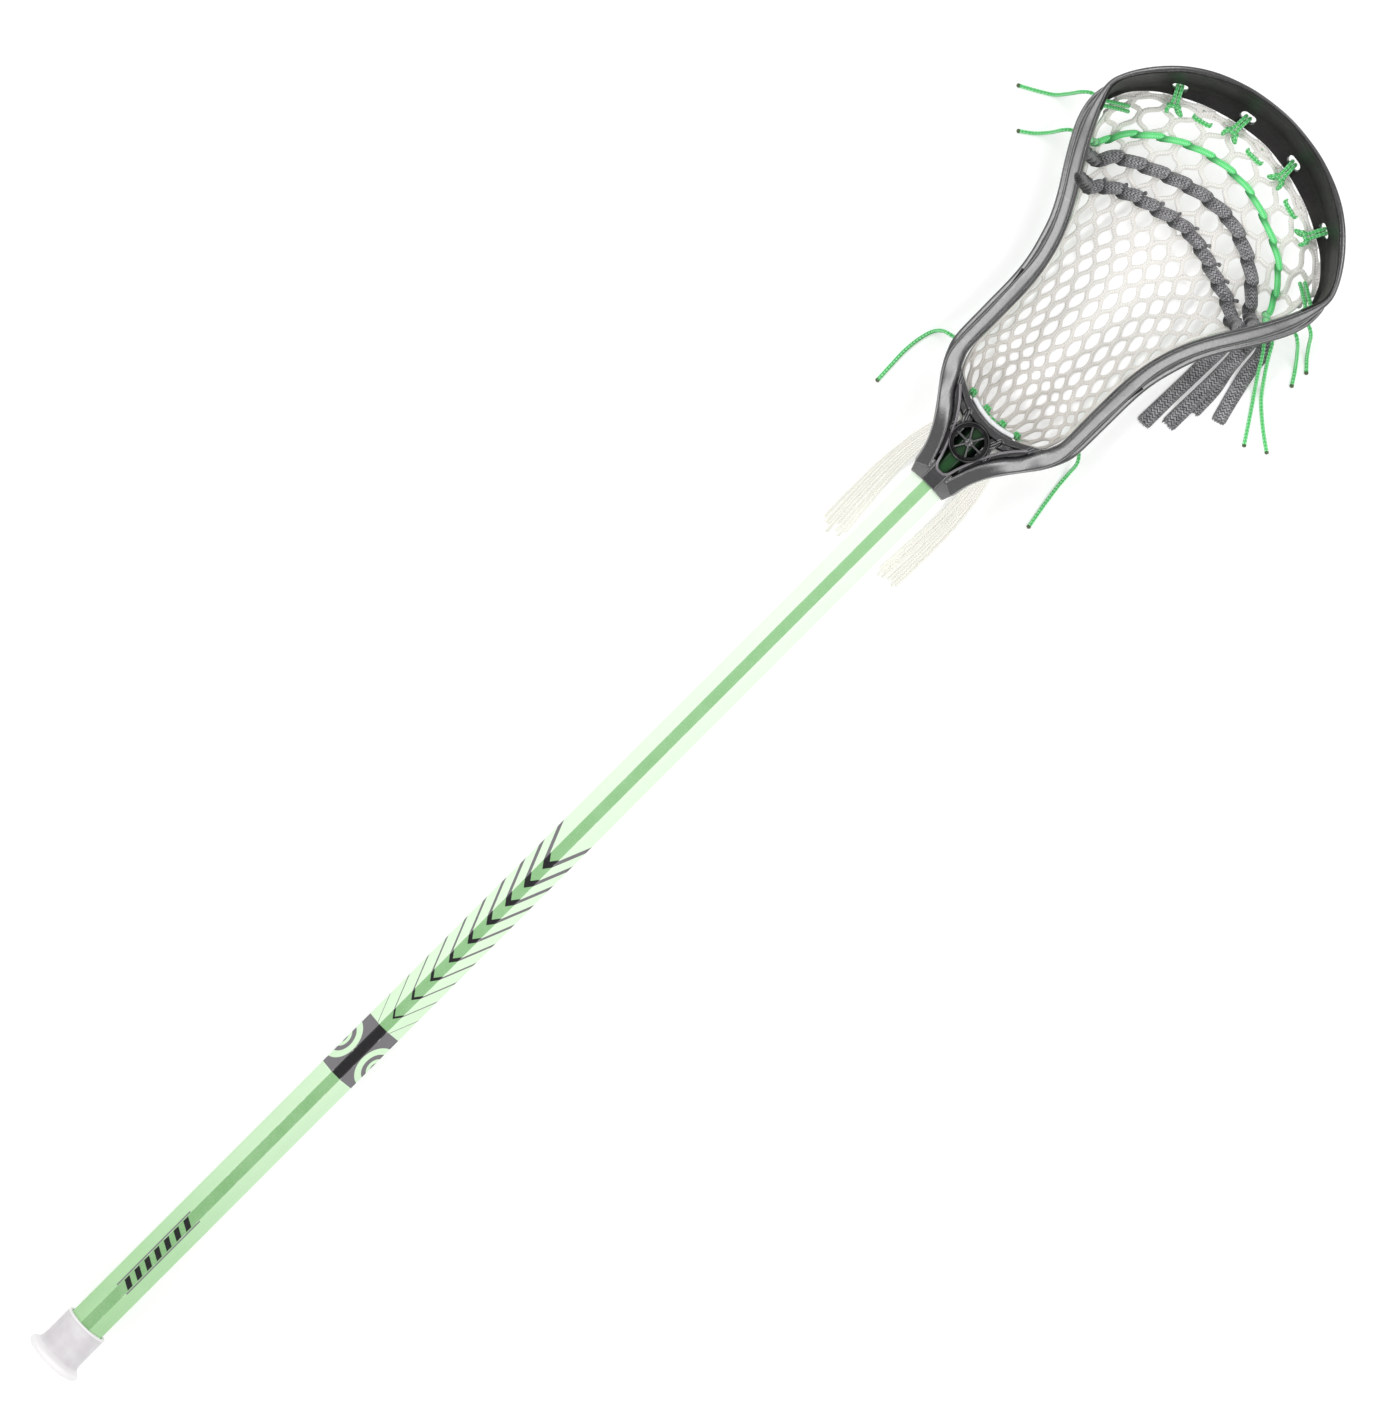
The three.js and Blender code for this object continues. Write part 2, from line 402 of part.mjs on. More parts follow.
// handle: eight-sided tube, in short lengths so that every flat is a run of small faces
function shaftTube() {
  const cuts = [0, 40, 120, 230, 340, 420, 530, 640, 720].map((v) => SHAFT_START + v).concat([SHAFT_END]);
  const outer = octagonOffset(0), bore = octagonOffset(-SHAFT_WALL);
  const vertices = [], t = [];
  for (const x of cuts) for (const [y, z] of outer) vertices.push([x, y, z]);
  const base = vertices.length;
  for (const x of cuts) for (const [y, z] of bore) vertices.push([x, y, z]);
  for (let i = 0; i < cuts.length - 1; i++) {
    for (let j = 0; j < 8; j++) {
      const a = i * 8 + j, b = i * 8 + (j + 1) % 8, c = a + 8, d = b + 8;
      t.push([a, b, c], [b, d, c], [a + base, c + base, b + base], [b + base, c + base, d + base]);
    }
  }
  const last = (cuts.length - 1) * 8;
  for (let j = 0; j < 8; j++) {
    const k = (j + 1) % 8;
    t.push([j, j + base, k], [k, j + base, k + base]);
    t.push([last + j, last + k, last + j + base], [last + k, last + k + base, last + j + base]);
  }
  return toManifold(closedGeometry(vertices, t)).subtract(toManifold(cylinderZ(2.3, 742, 0, -30, 0, 16)));
}
piece('shaft_tube', fromManifold(shaftTube()), 0xb2e2b4, 0.38, 0.35);

const capProfile = [[0, 0], [5, 0.1], [10, 0.45], [15, 1.1], [17.5, 2.0], [18.4, 3.0], [CAP_FLANGE_R, 3.6], [CAP_FLANGE_R, 4.4], [18.1, 5.4], [17.0, 6.2], [15.4, 7.0], [14.4, 8.4], [CAP_SLEEVE_R, 10.5], [CAP_SLEEVE_R, CAP_LENGTH - 0.8], [13.3, CAP_LENGTH], [0, CAP_LENGTH]];
const capSolid = toManifold(new THREE.LatheGeometry(capProfile.map(([r, x]) => new THREE.Vector2(r, x)), 40).rotateZ(-Math.PI / 2))
  .subtract(toManifold(alongX(octagonOffset(GAP), SHAFT_START - GAP, CAP_LENGTH + 5)));
piece('end_cap', fromManifold(capSolid), 0xe6e4e2, 0.6);

piece('head_frame', headFrame(), 0x3a383b, 0.4);

// foam strip on the throat's inner wall
const stopIn = [[774.15, 16.6], [772.95, 12.5], [771.85, 8.6], [771.3, 4.2], [770.85, 0]], stopOut = [[777.2, 15.6], [776.0, 11.6], [775.0, 7.6], [774.4, 3.8], [774.2, 0]];
const stopOutline = [...stopIn, ...stopIn.slice(0, -1).reverse().map(([x, y]) => [x, -y]), ...stopOut.map(([x, y]) => [x, -y]), ...stopOut.slice(0, -1).reverse()];
piece('ball_stop', prism(stopOutline, -10.5, 7.2), 0xe2e2e2, 0.9);

// screw from below into the handle, with a cross recess
const screwProfile = [[0, -15.9], [2.6, -15.9], [3.6, -15.3], [3.9, -14.4], [3.9, -13.4], [2.0, -13.4], [2.0, -5.0], [0.6, -3.4], [0, -3.4]];
let screw = toManifold(new THREE.LatheGeometry(screwProfile.map(([r, z]) => new THREE.Vector2(r, z)), 18).rotateX(Math.PI / 2).translate(742, 0, 0));
for (const a of [0, Math.PI / 2]) screw = screw.subtract(toManifold(new THREE.BoxGeometry(4.2, 1.0, 2.4).rotateZ(a).translate(742, 0, -15.6)));
piece('head_screw', fromManifold(screw), 0xa8a8aa, 0.35, 0.9);

piece('mesh_pocket', pocketSolid(18, 14), 0xe4ddd2, 0.85);

// cords that tie the mesh to the head
const besideLip = (i, s) => {
  const [, , ix, iy, , , lx, ly, , zb] = station(i, 1), dl = Math.hypot(ix - lx, iy - ly);
  return [lx - (ix - lx) / dl * 2.6, s * (ly - (iy - ly) / dl * 2.6), zb + 2.4];
};
const topPath = [];
for (let t = 19.5; t < TIP; t += 0.5) topPath.push(besideLip(t, 1));
for (let t = TIP - 0.001; t >= 19.5; t -= 0.5) topPath.push(besideLip(t, -1));
piece('top_string', tube(topPath, STRING_D, 6, 44), 0x4fc469, 0.55);
for (const [name, s] of [['sidewall_string_left', 1], ['sidewall_string_right', -1]]) {
  const path = [];
  for (let i = 7; i <= 17; i++) { const [x, y] = inward(RAIL[i], 1.8); path.push([x, s * y, RAIL[i][9] + 4.6]); }
  piece(name, tube(path, STRING_D, 6, 34), 0x4fc469, 0.55);
}
piece('bottom_string', tube([[779.9, 19.9, -8.3], [778.3, 12, -8.2], [777.2, 5, -8.2], [777.0, 0, -8.2], [777.2, -5, -8.2], [778.3, -12, -8.2], [779.9, -19.9, -8.3]], STRING_D, 6, 16), 0x4fc469, 0.55);

// shooting strings laid across the mesh
piece('shooting_string_nylon', tube(overMesh([[940.5, 69.6], [950.1, 65.0], [965.4, 47.1], [975.3, 27.3], [979.8, 6.2], [979.0, -13.7], [972.0, -34.8], [962.1, -53.8], [946.5, -67.0], [941.0, -69.4]], NYLON_D / 2 + 2.0, 26), NYLON_D, 8, 44), 0x57cf74, 0.45);
piece('shooting_lace_upper', tube(overMesh([[930.4, 64.6], [938.5, 59.0], [946.8, 44.4], [955.5, 23.2], [960.5, 3.3], [960.5, -18.3], [953.1, -38.1], [942.7, -52.6], [930.4, -63.0]], LACE_D / 2 + 2.0, 22), LACE_D, 8, 32), 0x67666a, 0.85);
piece('shooting_lace_lower', tube(overMesh([[916.8, 55.4], [922.0, 51.6], [931.1, 36.2], [936.9, 17.0], [940.3, -1.2], [937.4, -19.1], [931.5, -34.9], [925.9, -49.6], [920.2, -56.4]], LACE_D / 2 + 1.8, 20), LACE_D, 8, 30), 0x59585c, 0.85);

// free ends
for (const [name, points] of TAILS) {
  cordNodes.add(name);
  piece(name, tube(route(points, TAIL_D / 2 + 0.1), TAIL_D, 8, 16), 0x63d27c, 0.5);
}
for (const [name, points] of LACE_TAILS) {
  cordNodes.add(name);
  piece(name, strip(route(points, LACE_T / 2 + 0.1), LACE_W, LACE_T, 14), 0x5d5c60, 0.88);
}
const fringe = [[777.5, 12.6, -16.6], [767, 14.6, -21.5], [754, 18.5, -29.5], [738, 22.2, -40.5], [720, 23.6], [695, 23.2], [662, 21.8]];
for (const [name, s] of [['mesh_fringe_left', 1], ['mesh_fringe_right', -1]]) {
  cordNodes.add(name);
  piece(name, strip(route(fringe, 1.6).map(([x, y, z]) => [x, s * y, z]), [8, 19], 3, 14), 0xe2dccb, 0.9);
}

// ---------------------------------------------------------------- set the stick on its resting plane
inner.rotation.y = -THREE.MathUtils.degToRad(TIP_DEG);
stick.updateMatrixWorld(true);
const box = new THREE.Box3();
for (const mesh of inner.children) {
  if (cordNodes.has(mesh.name)) continue;
  const p = mesh.geometry.attributes.position, v = new THREE.Vector3();
  for (let i = 0; i < p.count; i++) box.expandByPoint(v.fromBufferAttribute(p, i).applyMatrix4(mesh.matrixWorld));
}
inner.position.set(-(box.min.x + box.max.x) / 2, -(box.min.y + box.max.y) / 2, -box.min.z);
stick.updateMatrixWorld(true);

export default stick;
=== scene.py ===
import json
import math
import bpy
import bmesh
import numpy as np
from mathutils import Matrix, Vector

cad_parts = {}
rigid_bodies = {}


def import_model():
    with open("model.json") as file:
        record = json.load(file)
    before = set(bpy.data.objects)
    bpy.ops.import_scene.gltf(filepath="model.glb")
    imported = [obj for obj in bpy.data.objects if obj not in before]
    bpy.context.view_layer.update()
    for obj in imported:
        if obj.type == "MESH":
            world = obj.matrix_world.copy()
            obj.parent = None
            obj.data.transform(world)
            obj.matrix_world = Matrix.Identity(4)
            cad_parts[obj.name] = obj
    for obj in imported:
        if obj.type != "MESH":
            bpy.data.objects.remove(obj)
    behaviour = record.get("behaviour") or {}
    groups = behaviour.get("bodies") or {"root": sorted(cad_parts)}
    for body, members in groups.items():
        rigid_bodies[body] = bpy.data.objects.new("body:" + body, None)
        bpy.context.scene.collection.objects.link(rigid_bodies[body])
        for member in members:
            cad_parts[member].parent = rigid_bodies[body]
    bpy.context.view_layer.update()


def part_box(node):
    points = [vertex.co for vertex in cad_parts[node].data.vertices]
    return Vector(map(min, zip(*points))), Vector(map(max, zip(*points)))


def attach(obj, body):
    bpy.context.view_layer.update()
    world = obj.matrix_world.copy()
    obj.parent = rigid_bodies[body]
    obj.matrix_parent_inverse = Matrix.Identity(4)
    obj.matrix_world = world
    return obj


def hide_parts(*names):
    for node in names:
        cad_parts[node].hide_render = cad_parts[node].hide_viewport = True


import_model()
scene = bpy.context.scene

# ------------------------------------------------------------------ the stick's own frame
# Everything is drawn in the stick's frame, in millimetres (+X from butt to scoop, +Z to the open face), and W() puts
# it in the row frame, in metres: the stick is tipped by 2.46 degrees so that its cap and its pocket both rest.
TIP = math.radians(2.46)
SN, CS = math.sin(TIP), math.cos(TIP)
_lo, _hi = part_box("shaft_tube")
TX = _lo[0] * 1000 - (3.9 * CS - 11.4 * SN)
TZ = _lo[2] * 1000 - (3.9 * SN - 11.4 * CS)
SHAFT_START, SHAFT_END, SHAFT_FLATS, SHAFT_HALF = 3.9, 765.5, 22.8, 3.35
STRING_D, NYLON_D, LACE_D, TAIL_D, LACE_W, LACE_T, MESH_T = 2.2, 4.6, 6.8, 2.4, 9.4, 1.6, 2.0
TAN = math.tan(TIP)


def W(p):
    p = np.asarray(p, float)
    x, y, z = p[..., 0], p[..., 1], p[..., 2]
    return np.stack([(x * CS - z * SN + TX) / 1000, y / 1000, (x * SN + z * CS + TZ) / 1000], -1)


def floor_z(x):
    return -18.33 - x * TAN


def WD(v):
    """A direction of the stick's frame in the row frame."""
    x, y, z = v
    return Vector((x * CS - z * SN, y, x * SN + z * CS))


# ------------------------------------------------------------------ camera
cam_data = bpy.data.cameras.new("camera")
cam = bpy.data.objects.new("camera", cam_data)
scene.collection.objects.link(cam)
cam_data.sensor_fit = "VERTICAL"
cam_data.angle = 2 * math.atan(411.05 / 2700)
cam_data.clip_start, cam_data.clip_end = 0.05, 50
_r, _u, _b = WD((1, -1, 0)) / math.sqrt(2), WD((1, 1, 0)) / math.sqrt(2), WD((0, 0, 1))
_m = Matrix((_r, _u, _b)).transposed().to_4x4()
_m.translation = Vector(W((536.3, 1.6, 2700)))
cam.matrix_world = _m
scene.camera = cam


# ------------------------------------------------------------------ curves
def catmull(points, n, closed=False):
    """n + 1 points at equal distances on the centripetal Catmull-Rom curve, the same curve as the CAD routes."""
    P = np.asarray(points, float)
    out = []
    m = len(P) - 1
    for i in range(m):
        p1, p2 = P[i], P[i + 1]
        p0 = P[i - 1] if i > 0 else 2 * P[0] - P[1]
        p3 = P[i + 2] if i + 2 <= m else 2 * P[m] - P[m - 1]
        d0, d1, d2 = [max(np.sum((a - b) ** 2) ** 0.25, 1e-4) for a, b in ((p0, p1), (p1, p2), (p2, p3))]
        if d1 < 1e-4:
            d1 = 1.0
        t1 = ((p1 - p0) / d0 - (p2 - p0) / (d0 + d1) + (p2 - p1) / d1) * d1
        t2 = ((p2 - p1) / d1 - (p3 - p1) / (d1 + d2) + (p3 - p2) / d2) * d1
        s = np.linspace(0, 1, 41)[:, None]
        s = s if i == m - 1 else s[:-1]
        out.append(p1 + t1 * s + (-3 * p1 + 3 * p2 - 2 * t1 - t2) * s**2 + (2 * p1 - 2 * p2 + t1 + t2) * s**3)
    return even(np.concatenate(out), n)


def even(P, n):
    """The polyline P at n + 1 equal distances."""
    d = np.concatenate([[0], np.cumsum(np.linalg.norm(np.diff(P, axis=0), axis=1))])
    s = np.linspace(0, d[-1], n + 1)
    return np.stack([np.interp(s, d, P[:, k]) for k in range(P.shape[1])], -1)


def length_of(P):
    return float(np.linalg.norm(np.diff(P, axis=0), axis=1).sum())


def smooth_path(P, times):
    P = P.copy()
    for _ in range(times):
        P[1:-1] = 0.25 * P[:-2] + 0.5 * P[1:-1] + 0.25 * P[2:]
    return P


def frames_of(P, up=None):
    """Tangent, side and up at each point of P: carried along, or kept level with up."""
    T = np.gradient(P, axis=0)
    T /= np.maximum(np.linalg.norm(T, axis=1, keepdims=True), 1e-9)
    N = np.zeros_like(T)
    if up is not None:
        U = np.broadcast_to(np.asarray(up, float), T.shape)
        N = np.cross(U, T)
        N /= np.maximum(np.linalg.norm(N, axis=1, keepdims=True), 1e-9)
        return T, N, np.cross(T, N)
    n = np.cross(T[0], (0, 0, 1.0))
    if np.linalg.norm(n) < 0.1:
        n = np.cross(T[0], (0, 1.0, 0))
    n /= np.linalg.norm(n)
    for i in range(len(T)):
        n = n - T[i] * np.dot(n, T[i])
        n /= max(np.linalg.norm(n), 1e-9)
        N[i] = n
    return T, N, np.cross(T, N)


# ------------------------------------------------------------------ meshes
class Build:
    """Vertices in the stick's frame in mm, faces, and a UV per face corner: u is the length in mm, v goes round."""

    def __init__(self):
        self.v, self.f, self.uv, self.n, self.crease_shade = [], [], [], 0, {}

    def add(self, verts, faces, uvs=None):
        verts = np.asarray(verts, float)
        self.v.append(verts)
        for k, f in enumerate(faces):
            self.f.append([i + self.n for i in f])
            self.uv.append(uvs[k] if uvs is not None else [(0.0, 0.0)] * len(f))
        self.n += len(verts)

    def sweep(self, P, ring, up=None, frames=None, u0=0.0, dome=0.35, v_scale=1.0):
        """Sweeps closed rings (n, sides, 2) of (side, up) offsets along P, with domed ends."""
        T, N, B = frames if frames is not None else frames_of(P, up)
        n, m = ring.shape[0], ring.shape[1]
        V = P[:, None, :] + ring[:, :, 0:1] * N[:, None, :] + ring[:, :, 1:2] * B[:, None, :]
        d = np.concatenate([[0], np.cumsum(np.linalg.norm(np.diff(P, axis=0), axis=1))]) + u0
        faces, uvs = [], []
        for i in range(n - 1):
            a, b = d[i], d[i + 1]
            for j in range(m):
                k = (j + 1) % m
                faces.append((i * m + j, i * m + k, (i + 1) * m + k, (i + 1) * m + j))
                uvs.append(((a, j / m * v_scale), (a, (j + 1) / m * v_scale), (b, (j + 1) / m * v_scale), (b, j / m * v_scale)))
        V = V.reshape(-1, 3)
        r0, r1 = np.abs(ring[0]).max(), np.abs(ring[-1]).max()
        V = np.vstack([V, P[0] - T[0] * r0 * dome, P[-1] + T[-1] * r1 * dome])
        c0, c1 = n * m, n * m + 1
        for j in range(m):
            k = (j + 1) % m
            faces.append((c0, k, j))
            uvs.append(((d[0], 0.5), (d[0], k / m), (d[0], j / m)))
            faces.append((c1, (n - 1) * m + j, (n - 1) * m + k))
            uvs.append(((d[-1], 0.5), (d[-1], j / m), (d[-1], k / m)))
        self.add(V, faces, uvs)

    def object(self, name, material, smooth=True, sharp=None):
        me = bpy.data.meshes.new(name)
        V = W(np.vstack(self.v))
        me.from_pydata(V.tolist(), [], self.f)
        layer = me.uv_layers.new(name="UV")
        flat = np.array([c for f in self.uv for c in f], float).ravel()
        layer.data.foreach_set("uv", flat.astype(np.float32))
        if self.crease_shade:
            a = me.attributes.new("crease_shade", "FLOAT", "POINT")
            vals = np.zeros(self.n, np.float32)
            for k, t in self.crease_shade.items():
                vals[k:k + len(t)] = t
            a.data.foreach_set("value", vals)
        me.validate()
        o = bpy.data.objects.new(name, me)
        scene.collection.objects.link(o)
        bm = bmesh.new()
        bm.from_mesh(me)
        bmesh.ops.recalc_face_normals(bm, faces=bm.faces)
        bm.to_mesh(me)
        bm.free()
        if smooth:
            me.polygons.foreach_set("use_smooth", [True] * len(me.polygons))
            if sharp is not None:
                me.set_sharp_from_angle(angle=math.radians(sharp))
        me.materials.append(material)
        return o


def circle(n, m, r, wave=None):
    """n rings of m points of radius r; wave(i, angle) scales it."""
    a = np.linspace(0, 2 * np.pi, m, endpoint=False)
    R = np.ones((n, m)) * np.asarray(r).reshape(-1, 1) if np.ndim(r) else np.full((n, m), float(r))
    if wave is not None:
        R = R * wave(np.arange(n)[:, None], a[None, :])
    return np.stack([R * np.cos(a), R * np.sin(a)], -1)


def ellipse(n, m, w, t, spin=None, power=1.0):
    a = np.linspace(0, 2 * np.pi, m, endpoint=False)
    c, s = np.cos(a), np.sin(a)
    c, s = np.sign(c) * np.abs(c) ** power, np.sign(s) * np.abs(s) ** power
    w, t = np.broadcast_to(np.asarray(w, float).reshape(-1, 1), (n, 1)), np.broadcast_to(np.asarray(t, float).reshape(-1, 1), (n, 1))
    x, y = w / 2 * c, t / 2 * s
    if spin is not None:
        k = np.asarray(spin).reshape(-1, 1)
        x, y = x * np.cos(k) - y * np.sin(k), x * np.sin(k) + y * np.cos(k)
    return np.stack([x, y], -1)


def object_from(name, verts, faces, material=None, smooth=False):
    b = Build()
    b.add(verts, faces)
    me = bpy.data.meshes.new(name)
    me.from_pydata(W(np.vstack(b.v)).tolist(), [], b.f)
    o = bpy.data.objects.new(name, me)
    scene.collection.objects.link(o)
    bm = bmesh.new()
    bm.from_mesh(me)
    bmesh.ops.recalc_face_normals(bm, faces=bm.faces)
    bm.to_mesh(me)
    bm.free()
    if material:
        me.materials.append(material)
    return o


def apply_modifiers(o):
    dg = bpy.context.evaluated_depsgraph_get()
    me = bpy.data.meshes.new_from_object(o.evaluated_get(dg))
    old = o.data
    o.modifiers.clear()
    o.data = me
    bpy.data.meshes.remove(old)
    return o


# ------------------------------------------------------------------ node helpers
class Nodes:
    """Small expression writer for shader nodes."""

    def __init__(self, name):
        self.mat = bpy.data.materials.new(name)
        self.mat.use_nodes = True
        self.nt = self.mat.node_tree
        self.bsdf = next(n for n in self.nt.nodes if n.type == "BSDF_PRINCIPLED")
        self.count = 0

    def node(self, kind, **props):
        n = self.nt.nodes.new(kind)
        n.location = (-220 - 30 * (self.count % 40), -40 * (self.count // 40))
        self.count += 1
        for k, v in props.items():
            setattr(n, k, v)
        return n

    def plug(self, value, socket):
        if isinstance(value, bpy.types.NodeSocket):
            self.nt.links.new(value, socket)
        elif isinstance(value, (int, float)) and socket.type == "RGBA":
            socket.default_value = (value, value, value, 1)
        elif isinstance(value, (tuple, list)) and socket.type == "RGBA":
            socket.default_value = tuple(value[:3]) + (1,)
        else:
            socket.default_value = value

    def math(self, op, a, b=0.0, c=0.0, clamp=False):
        n = self.node("ShaderNodeMath", operation=op, use_clamp=clamp)
        for v, s in zip((a, b, c), n.inputs):
            self.plug(v, s)
        return n.outputs[0]

    def add(self, a, b): return self.math("ADD", a, b)
    def sub(self, a, b): return self.math("SUBTRACT", a, b)
    def mul(self, a, b): return self.math("MULTIPLY", a, b)
    def absol(self, a): return self.math("ABSOLUTE", a)
    def mini(self, a, b): return self.math("MINIMUM", a, b)
    def maxi(self, a, b): return self.math("MAXIMUM", a, b)

    def ramp(self, x, a, b, lo=0.0, hi=1.0, kind="LINEAR"):
        n = self.node("ShaderNodeMapRange", interpolation_type=kind)
        for v, s in zip((x, a, b, lo, hi), n.inputs):
            self.plug(v, s)
        return n.outputs[0]

    def band(self, x, a, b, soft):
        """1 where a < x < b."""
        return self.mul(self.ramp(x, a - soft, a + soft), self.ramp(x, b - soft, b + soft, 1.0, 0.0))

    def mix(self, f, a, b, blend="MIX"):
        n = self.node("ShaderNodeMix", data_type="RGBA", blend_type=blend)
        self.plug(f, n.inputs[0])
        self.plug(a, n.inputs[6])
        self.plug(b, n.inputs[7])
        return n.outputs[2]

    def noise(self, vector, scale, detail=2.0, rough=0.5, dim="3D"):
        n = self.node("ShaderNodeTexNoise", noise_dimensions=dim)
        self.plug(vector, n.inputs["Vector"])
        n.inputs["Scale"].default_value = scale
        n.inputs["Detail"].default_value = detail
        n.inputs["Roughness"].default_value = rough
        return n.outputs[0]

    def voronoi(self, vector, scale, feature="F1"):
        n = self.node("ShaderNodeTexVoronoi", feature=feature)
        self.plug(vector, n.inputs["Vector"])
        n.inputs["Scale"].default_value = scale
        return n.outputs["Distance"]

    def coords(self):
        """x, y, z of the stick's frame in mm, and the vector."""
        t = self.node("ShaderNodeTexCoord")
        m = self.node("ShaderNodeMapping", vector_type="POINT")
        self.nt.links.new(t.outputs["Object"], m.inputs[0])
        m.inputs["Scale"].default_value = (1000, 1000, 1000)
        m.inputs["Rotation"].default_value = (0, TIP, 0)
        m.inputs["Location"].default_value = (-(TX * CS + TZ * SN), 0, -(-TX * SN + TZ * CS))
        s = self.node("ShaderNodeSeparateXYZ")
        self.nt.links.new(m.outputs[0], s.inputs[0])
        return s.outputs[0], s.outputs[1], s.outputs[2], m.outputs[0]

    def uv(self):
        u = self.node("ShaderNodeUVMap", uv_map="UV")
        s = self.node("ShaderNodeSeparateXYZ")
        self.nt.links.new(u.outputs[0], s.inputs[0])
        return s.outputs[0], s.outputs[1], u.outputs[0]

    def bump(self, height, strength, distance, normal=None):
        n = self.node("ShaderNodeBump")
        n.inputs["Strength"].default_value = strength
        n.inputs["Distance"].default_value = distance
        self.plug(height, n.inputs["Height"])
        if normal is not None:
            self.plug(normal, n.inputs["Normal"])
        return n.outputs[0]

    def out(self, color=None, rough=None, normal=None, **static):
        if color is not None:
            self.plug(color, self.bsdf.inputs["Base Color"])
        if rough is not None:
            self.plug(rough, self.bsdf.inputs["Roughness"])
        if normal is not None:
            self.plug(normal, self.bsdf.inputs["Normal"])
        for k, v in static.items():
            self.bsdf.inputs[k.replace("_", " ")].default_value = v
        return self.mat


def srgb(r, g, b):
    return tuple(((c / 255) / 12.92 if c / 255 <= 0.04045 else ((c / 255 + 0.055) / 1.055) ** 2.4) for c in (r, g, b))


# ------------------------------------------------------------------ materials
def shaft_material():
    k = Nodes("shaft_paint")
    x, y, z, v = k.coords()
    ay, az = k.absol(y), k.absol(z)
    # distance round the section from the middle of the upper (or lower) flat
    diag = k.mul(k.maxi(k.sub(ay, SHAFT_HALF), 0.0), 1.4142)
    side = k.mul(k.ramp(ay, 11.0, 11.25), k.maxi(k.sub(SHAFT_HALF, az), 0.0))
    p = k.add(k.add(k.mini(ay, SHAFT_HALF), diag), side)
    flat = k.ramp(p, SHAFT_HALF - 0.12, SHAFT_HALF + 0.12, 1.0, 0.0)
    # paint fades from green at the butt to pale mint at the head
    fade = k.ramp(x, 20.0, 700.0)
    facet = k.mix(k.ramp(x, 40.0, 330.0), srgb(170, 214, 162), srgb(220, 245, 213))
    facet = k.mix(k.ramp(x, 380.0, 700.0), facet, srgb(238, 253, 235))
    facet = k.mix(k.ramp(x, 20.0, 150.0, 1.0, 0.0), facet, srgb(158, 204, 148))
    # painted shade: the upper and lower flats get a deeper green than the facets beside them
    strip_shade = k.mix(fade, srgb(116, 166, 106), srgb(138, 190, 132))
    paint = k.mix(flat, facet, strip_shade)
    cloud = k.noise(v, 0.05, 3.0, 0.55)
    paint = k.mix(k.ramp(cloud, 0.35, 0.7, 0.0, 0.10), paint, srgb(214, 240, 206))
    flake = k.noise(v, 3.2, 1.0, 0.6)
    paint = k.mix(k.ramp(flake, 0.50, 0.72, 0.0, 0.16), paint, srgb(252, 255, 250))
    paint = k.mix(k.ramp(flake, 0.48, 0.30, 0.0, 0.10), paint, srgb(118, 170, 112))
    # dark printed band with a plain pale ring on each side
    ink, ink_sheen = srgb(14, 13, 16), srgb(116, 113, 117)
    band = k.band(x, 236.7, 275.6, 0.12)
    dx, dp = k.sub(x, 254.9), k.sub(p, 18.08)
    r = k.math("SQRT", k.add(k.mul(dx, dx), k.mul(dp, dp)))
    ring = k.maxi(k.band(r, 9.8, 14.2, 0.12), k.band(r, 4.2, 6.7, 0.12))
    band_ink = k.mul(band, k.sub(1.0, ring))
    # rows of chevrons that point to the butt and grow heavier towards the head
    swept = k.add(k.mul(k.mini(p, SHAFT_HALF), 1.33), k.mul(k.maxi(k.sub(p, SHAFT_HALF), 0.0), 1.70))
    phase = k.math("DIVIDE", k.sub(k.sub(x, 283.0), swept), 15.33)
    n = k.math("FLOOR", phase)
    inside = k.mul(k.math("FRACT", phase), 15.33)
    thick = k.add(k.mul(flat, k.ramp(n, -1.0, 8.0, 1.5, 6.2)), k.mul(k.sub(1.0, flat), k.ramp(n, -1.0, 8.0, 0.9, 5.2)))
    stroke = k.ramp(k.sub(inside, thick), -0.10, 0.10, 1.0, 0.0)
    stroke = k.mul(stroke, k.ramp(inside, 0.0, 0.15))
    rows = k.mul(k.math("GREATER_THAN", n, -1.5), k.math("LESS_THAN", n, 8.5))
    chevron = k.mul(k.mul(stroke, rows), k.ramp(x, 275.6, 275.8))
    # plain mark near the butt: a row of leaning bars between two thin lines, on the upper flat only
    up = k.math("GREATER_THAN", z, 0.0)
    lean = k.add(x, k.mul(y, -0.55))
    cell = k.mul(k.math("FRACT", k.math("DIVIDE", lean, 8.0)), 8.0)
    bars = k.mul(k.band(cell, 1.2, 5.2, 0.12), k.band(y, -2.9, 2.9, 0.12))
    bars = k.mul(bars, k.band(x, 63.0, 119.5, 0.1))
    lines = k.mul(k.band(k.absol(y), 3.5, 4.3, 0.1), k.band(x, 61.5, 121.5, 0.1))
    mark = k.mul(k.maxi(bars, lines), up)
    dark = k.maxi(k.maxi(band_ink, chevron), mark)
    # painted sheen: the print is lighter grey on the diagonal facets and near black on the flats
    print_colour = k.mix(k.maxi(flat, k.ramp(ay, 10.9, 11.2)), ink_sheen, ink)
    print_colour = k.mix(k.ramp(flake, 0.4, 0.7, 0.0, 0.05), print_colour, srgb(150, 146, 150))
    colour = k.mix(dark, paint, print_colour)
    # painted shade: the end inside the head is darkened to a deep green that goes to black at its sides
    head_shade_mask = k.ramp(x, 727.5, 730.5)
    deep = k.mix(k.ramp(ay, 1.0, 5.5), srgb(5, 66, 18), srgb(5, 9, 6))
    deep = k.mix(k.ramp(x, 738.0, 748.0, 0.0, 0.45), deep, srgb(6, 16, 8))
    colour = k.mix(head_shade_mask, colour, deep)
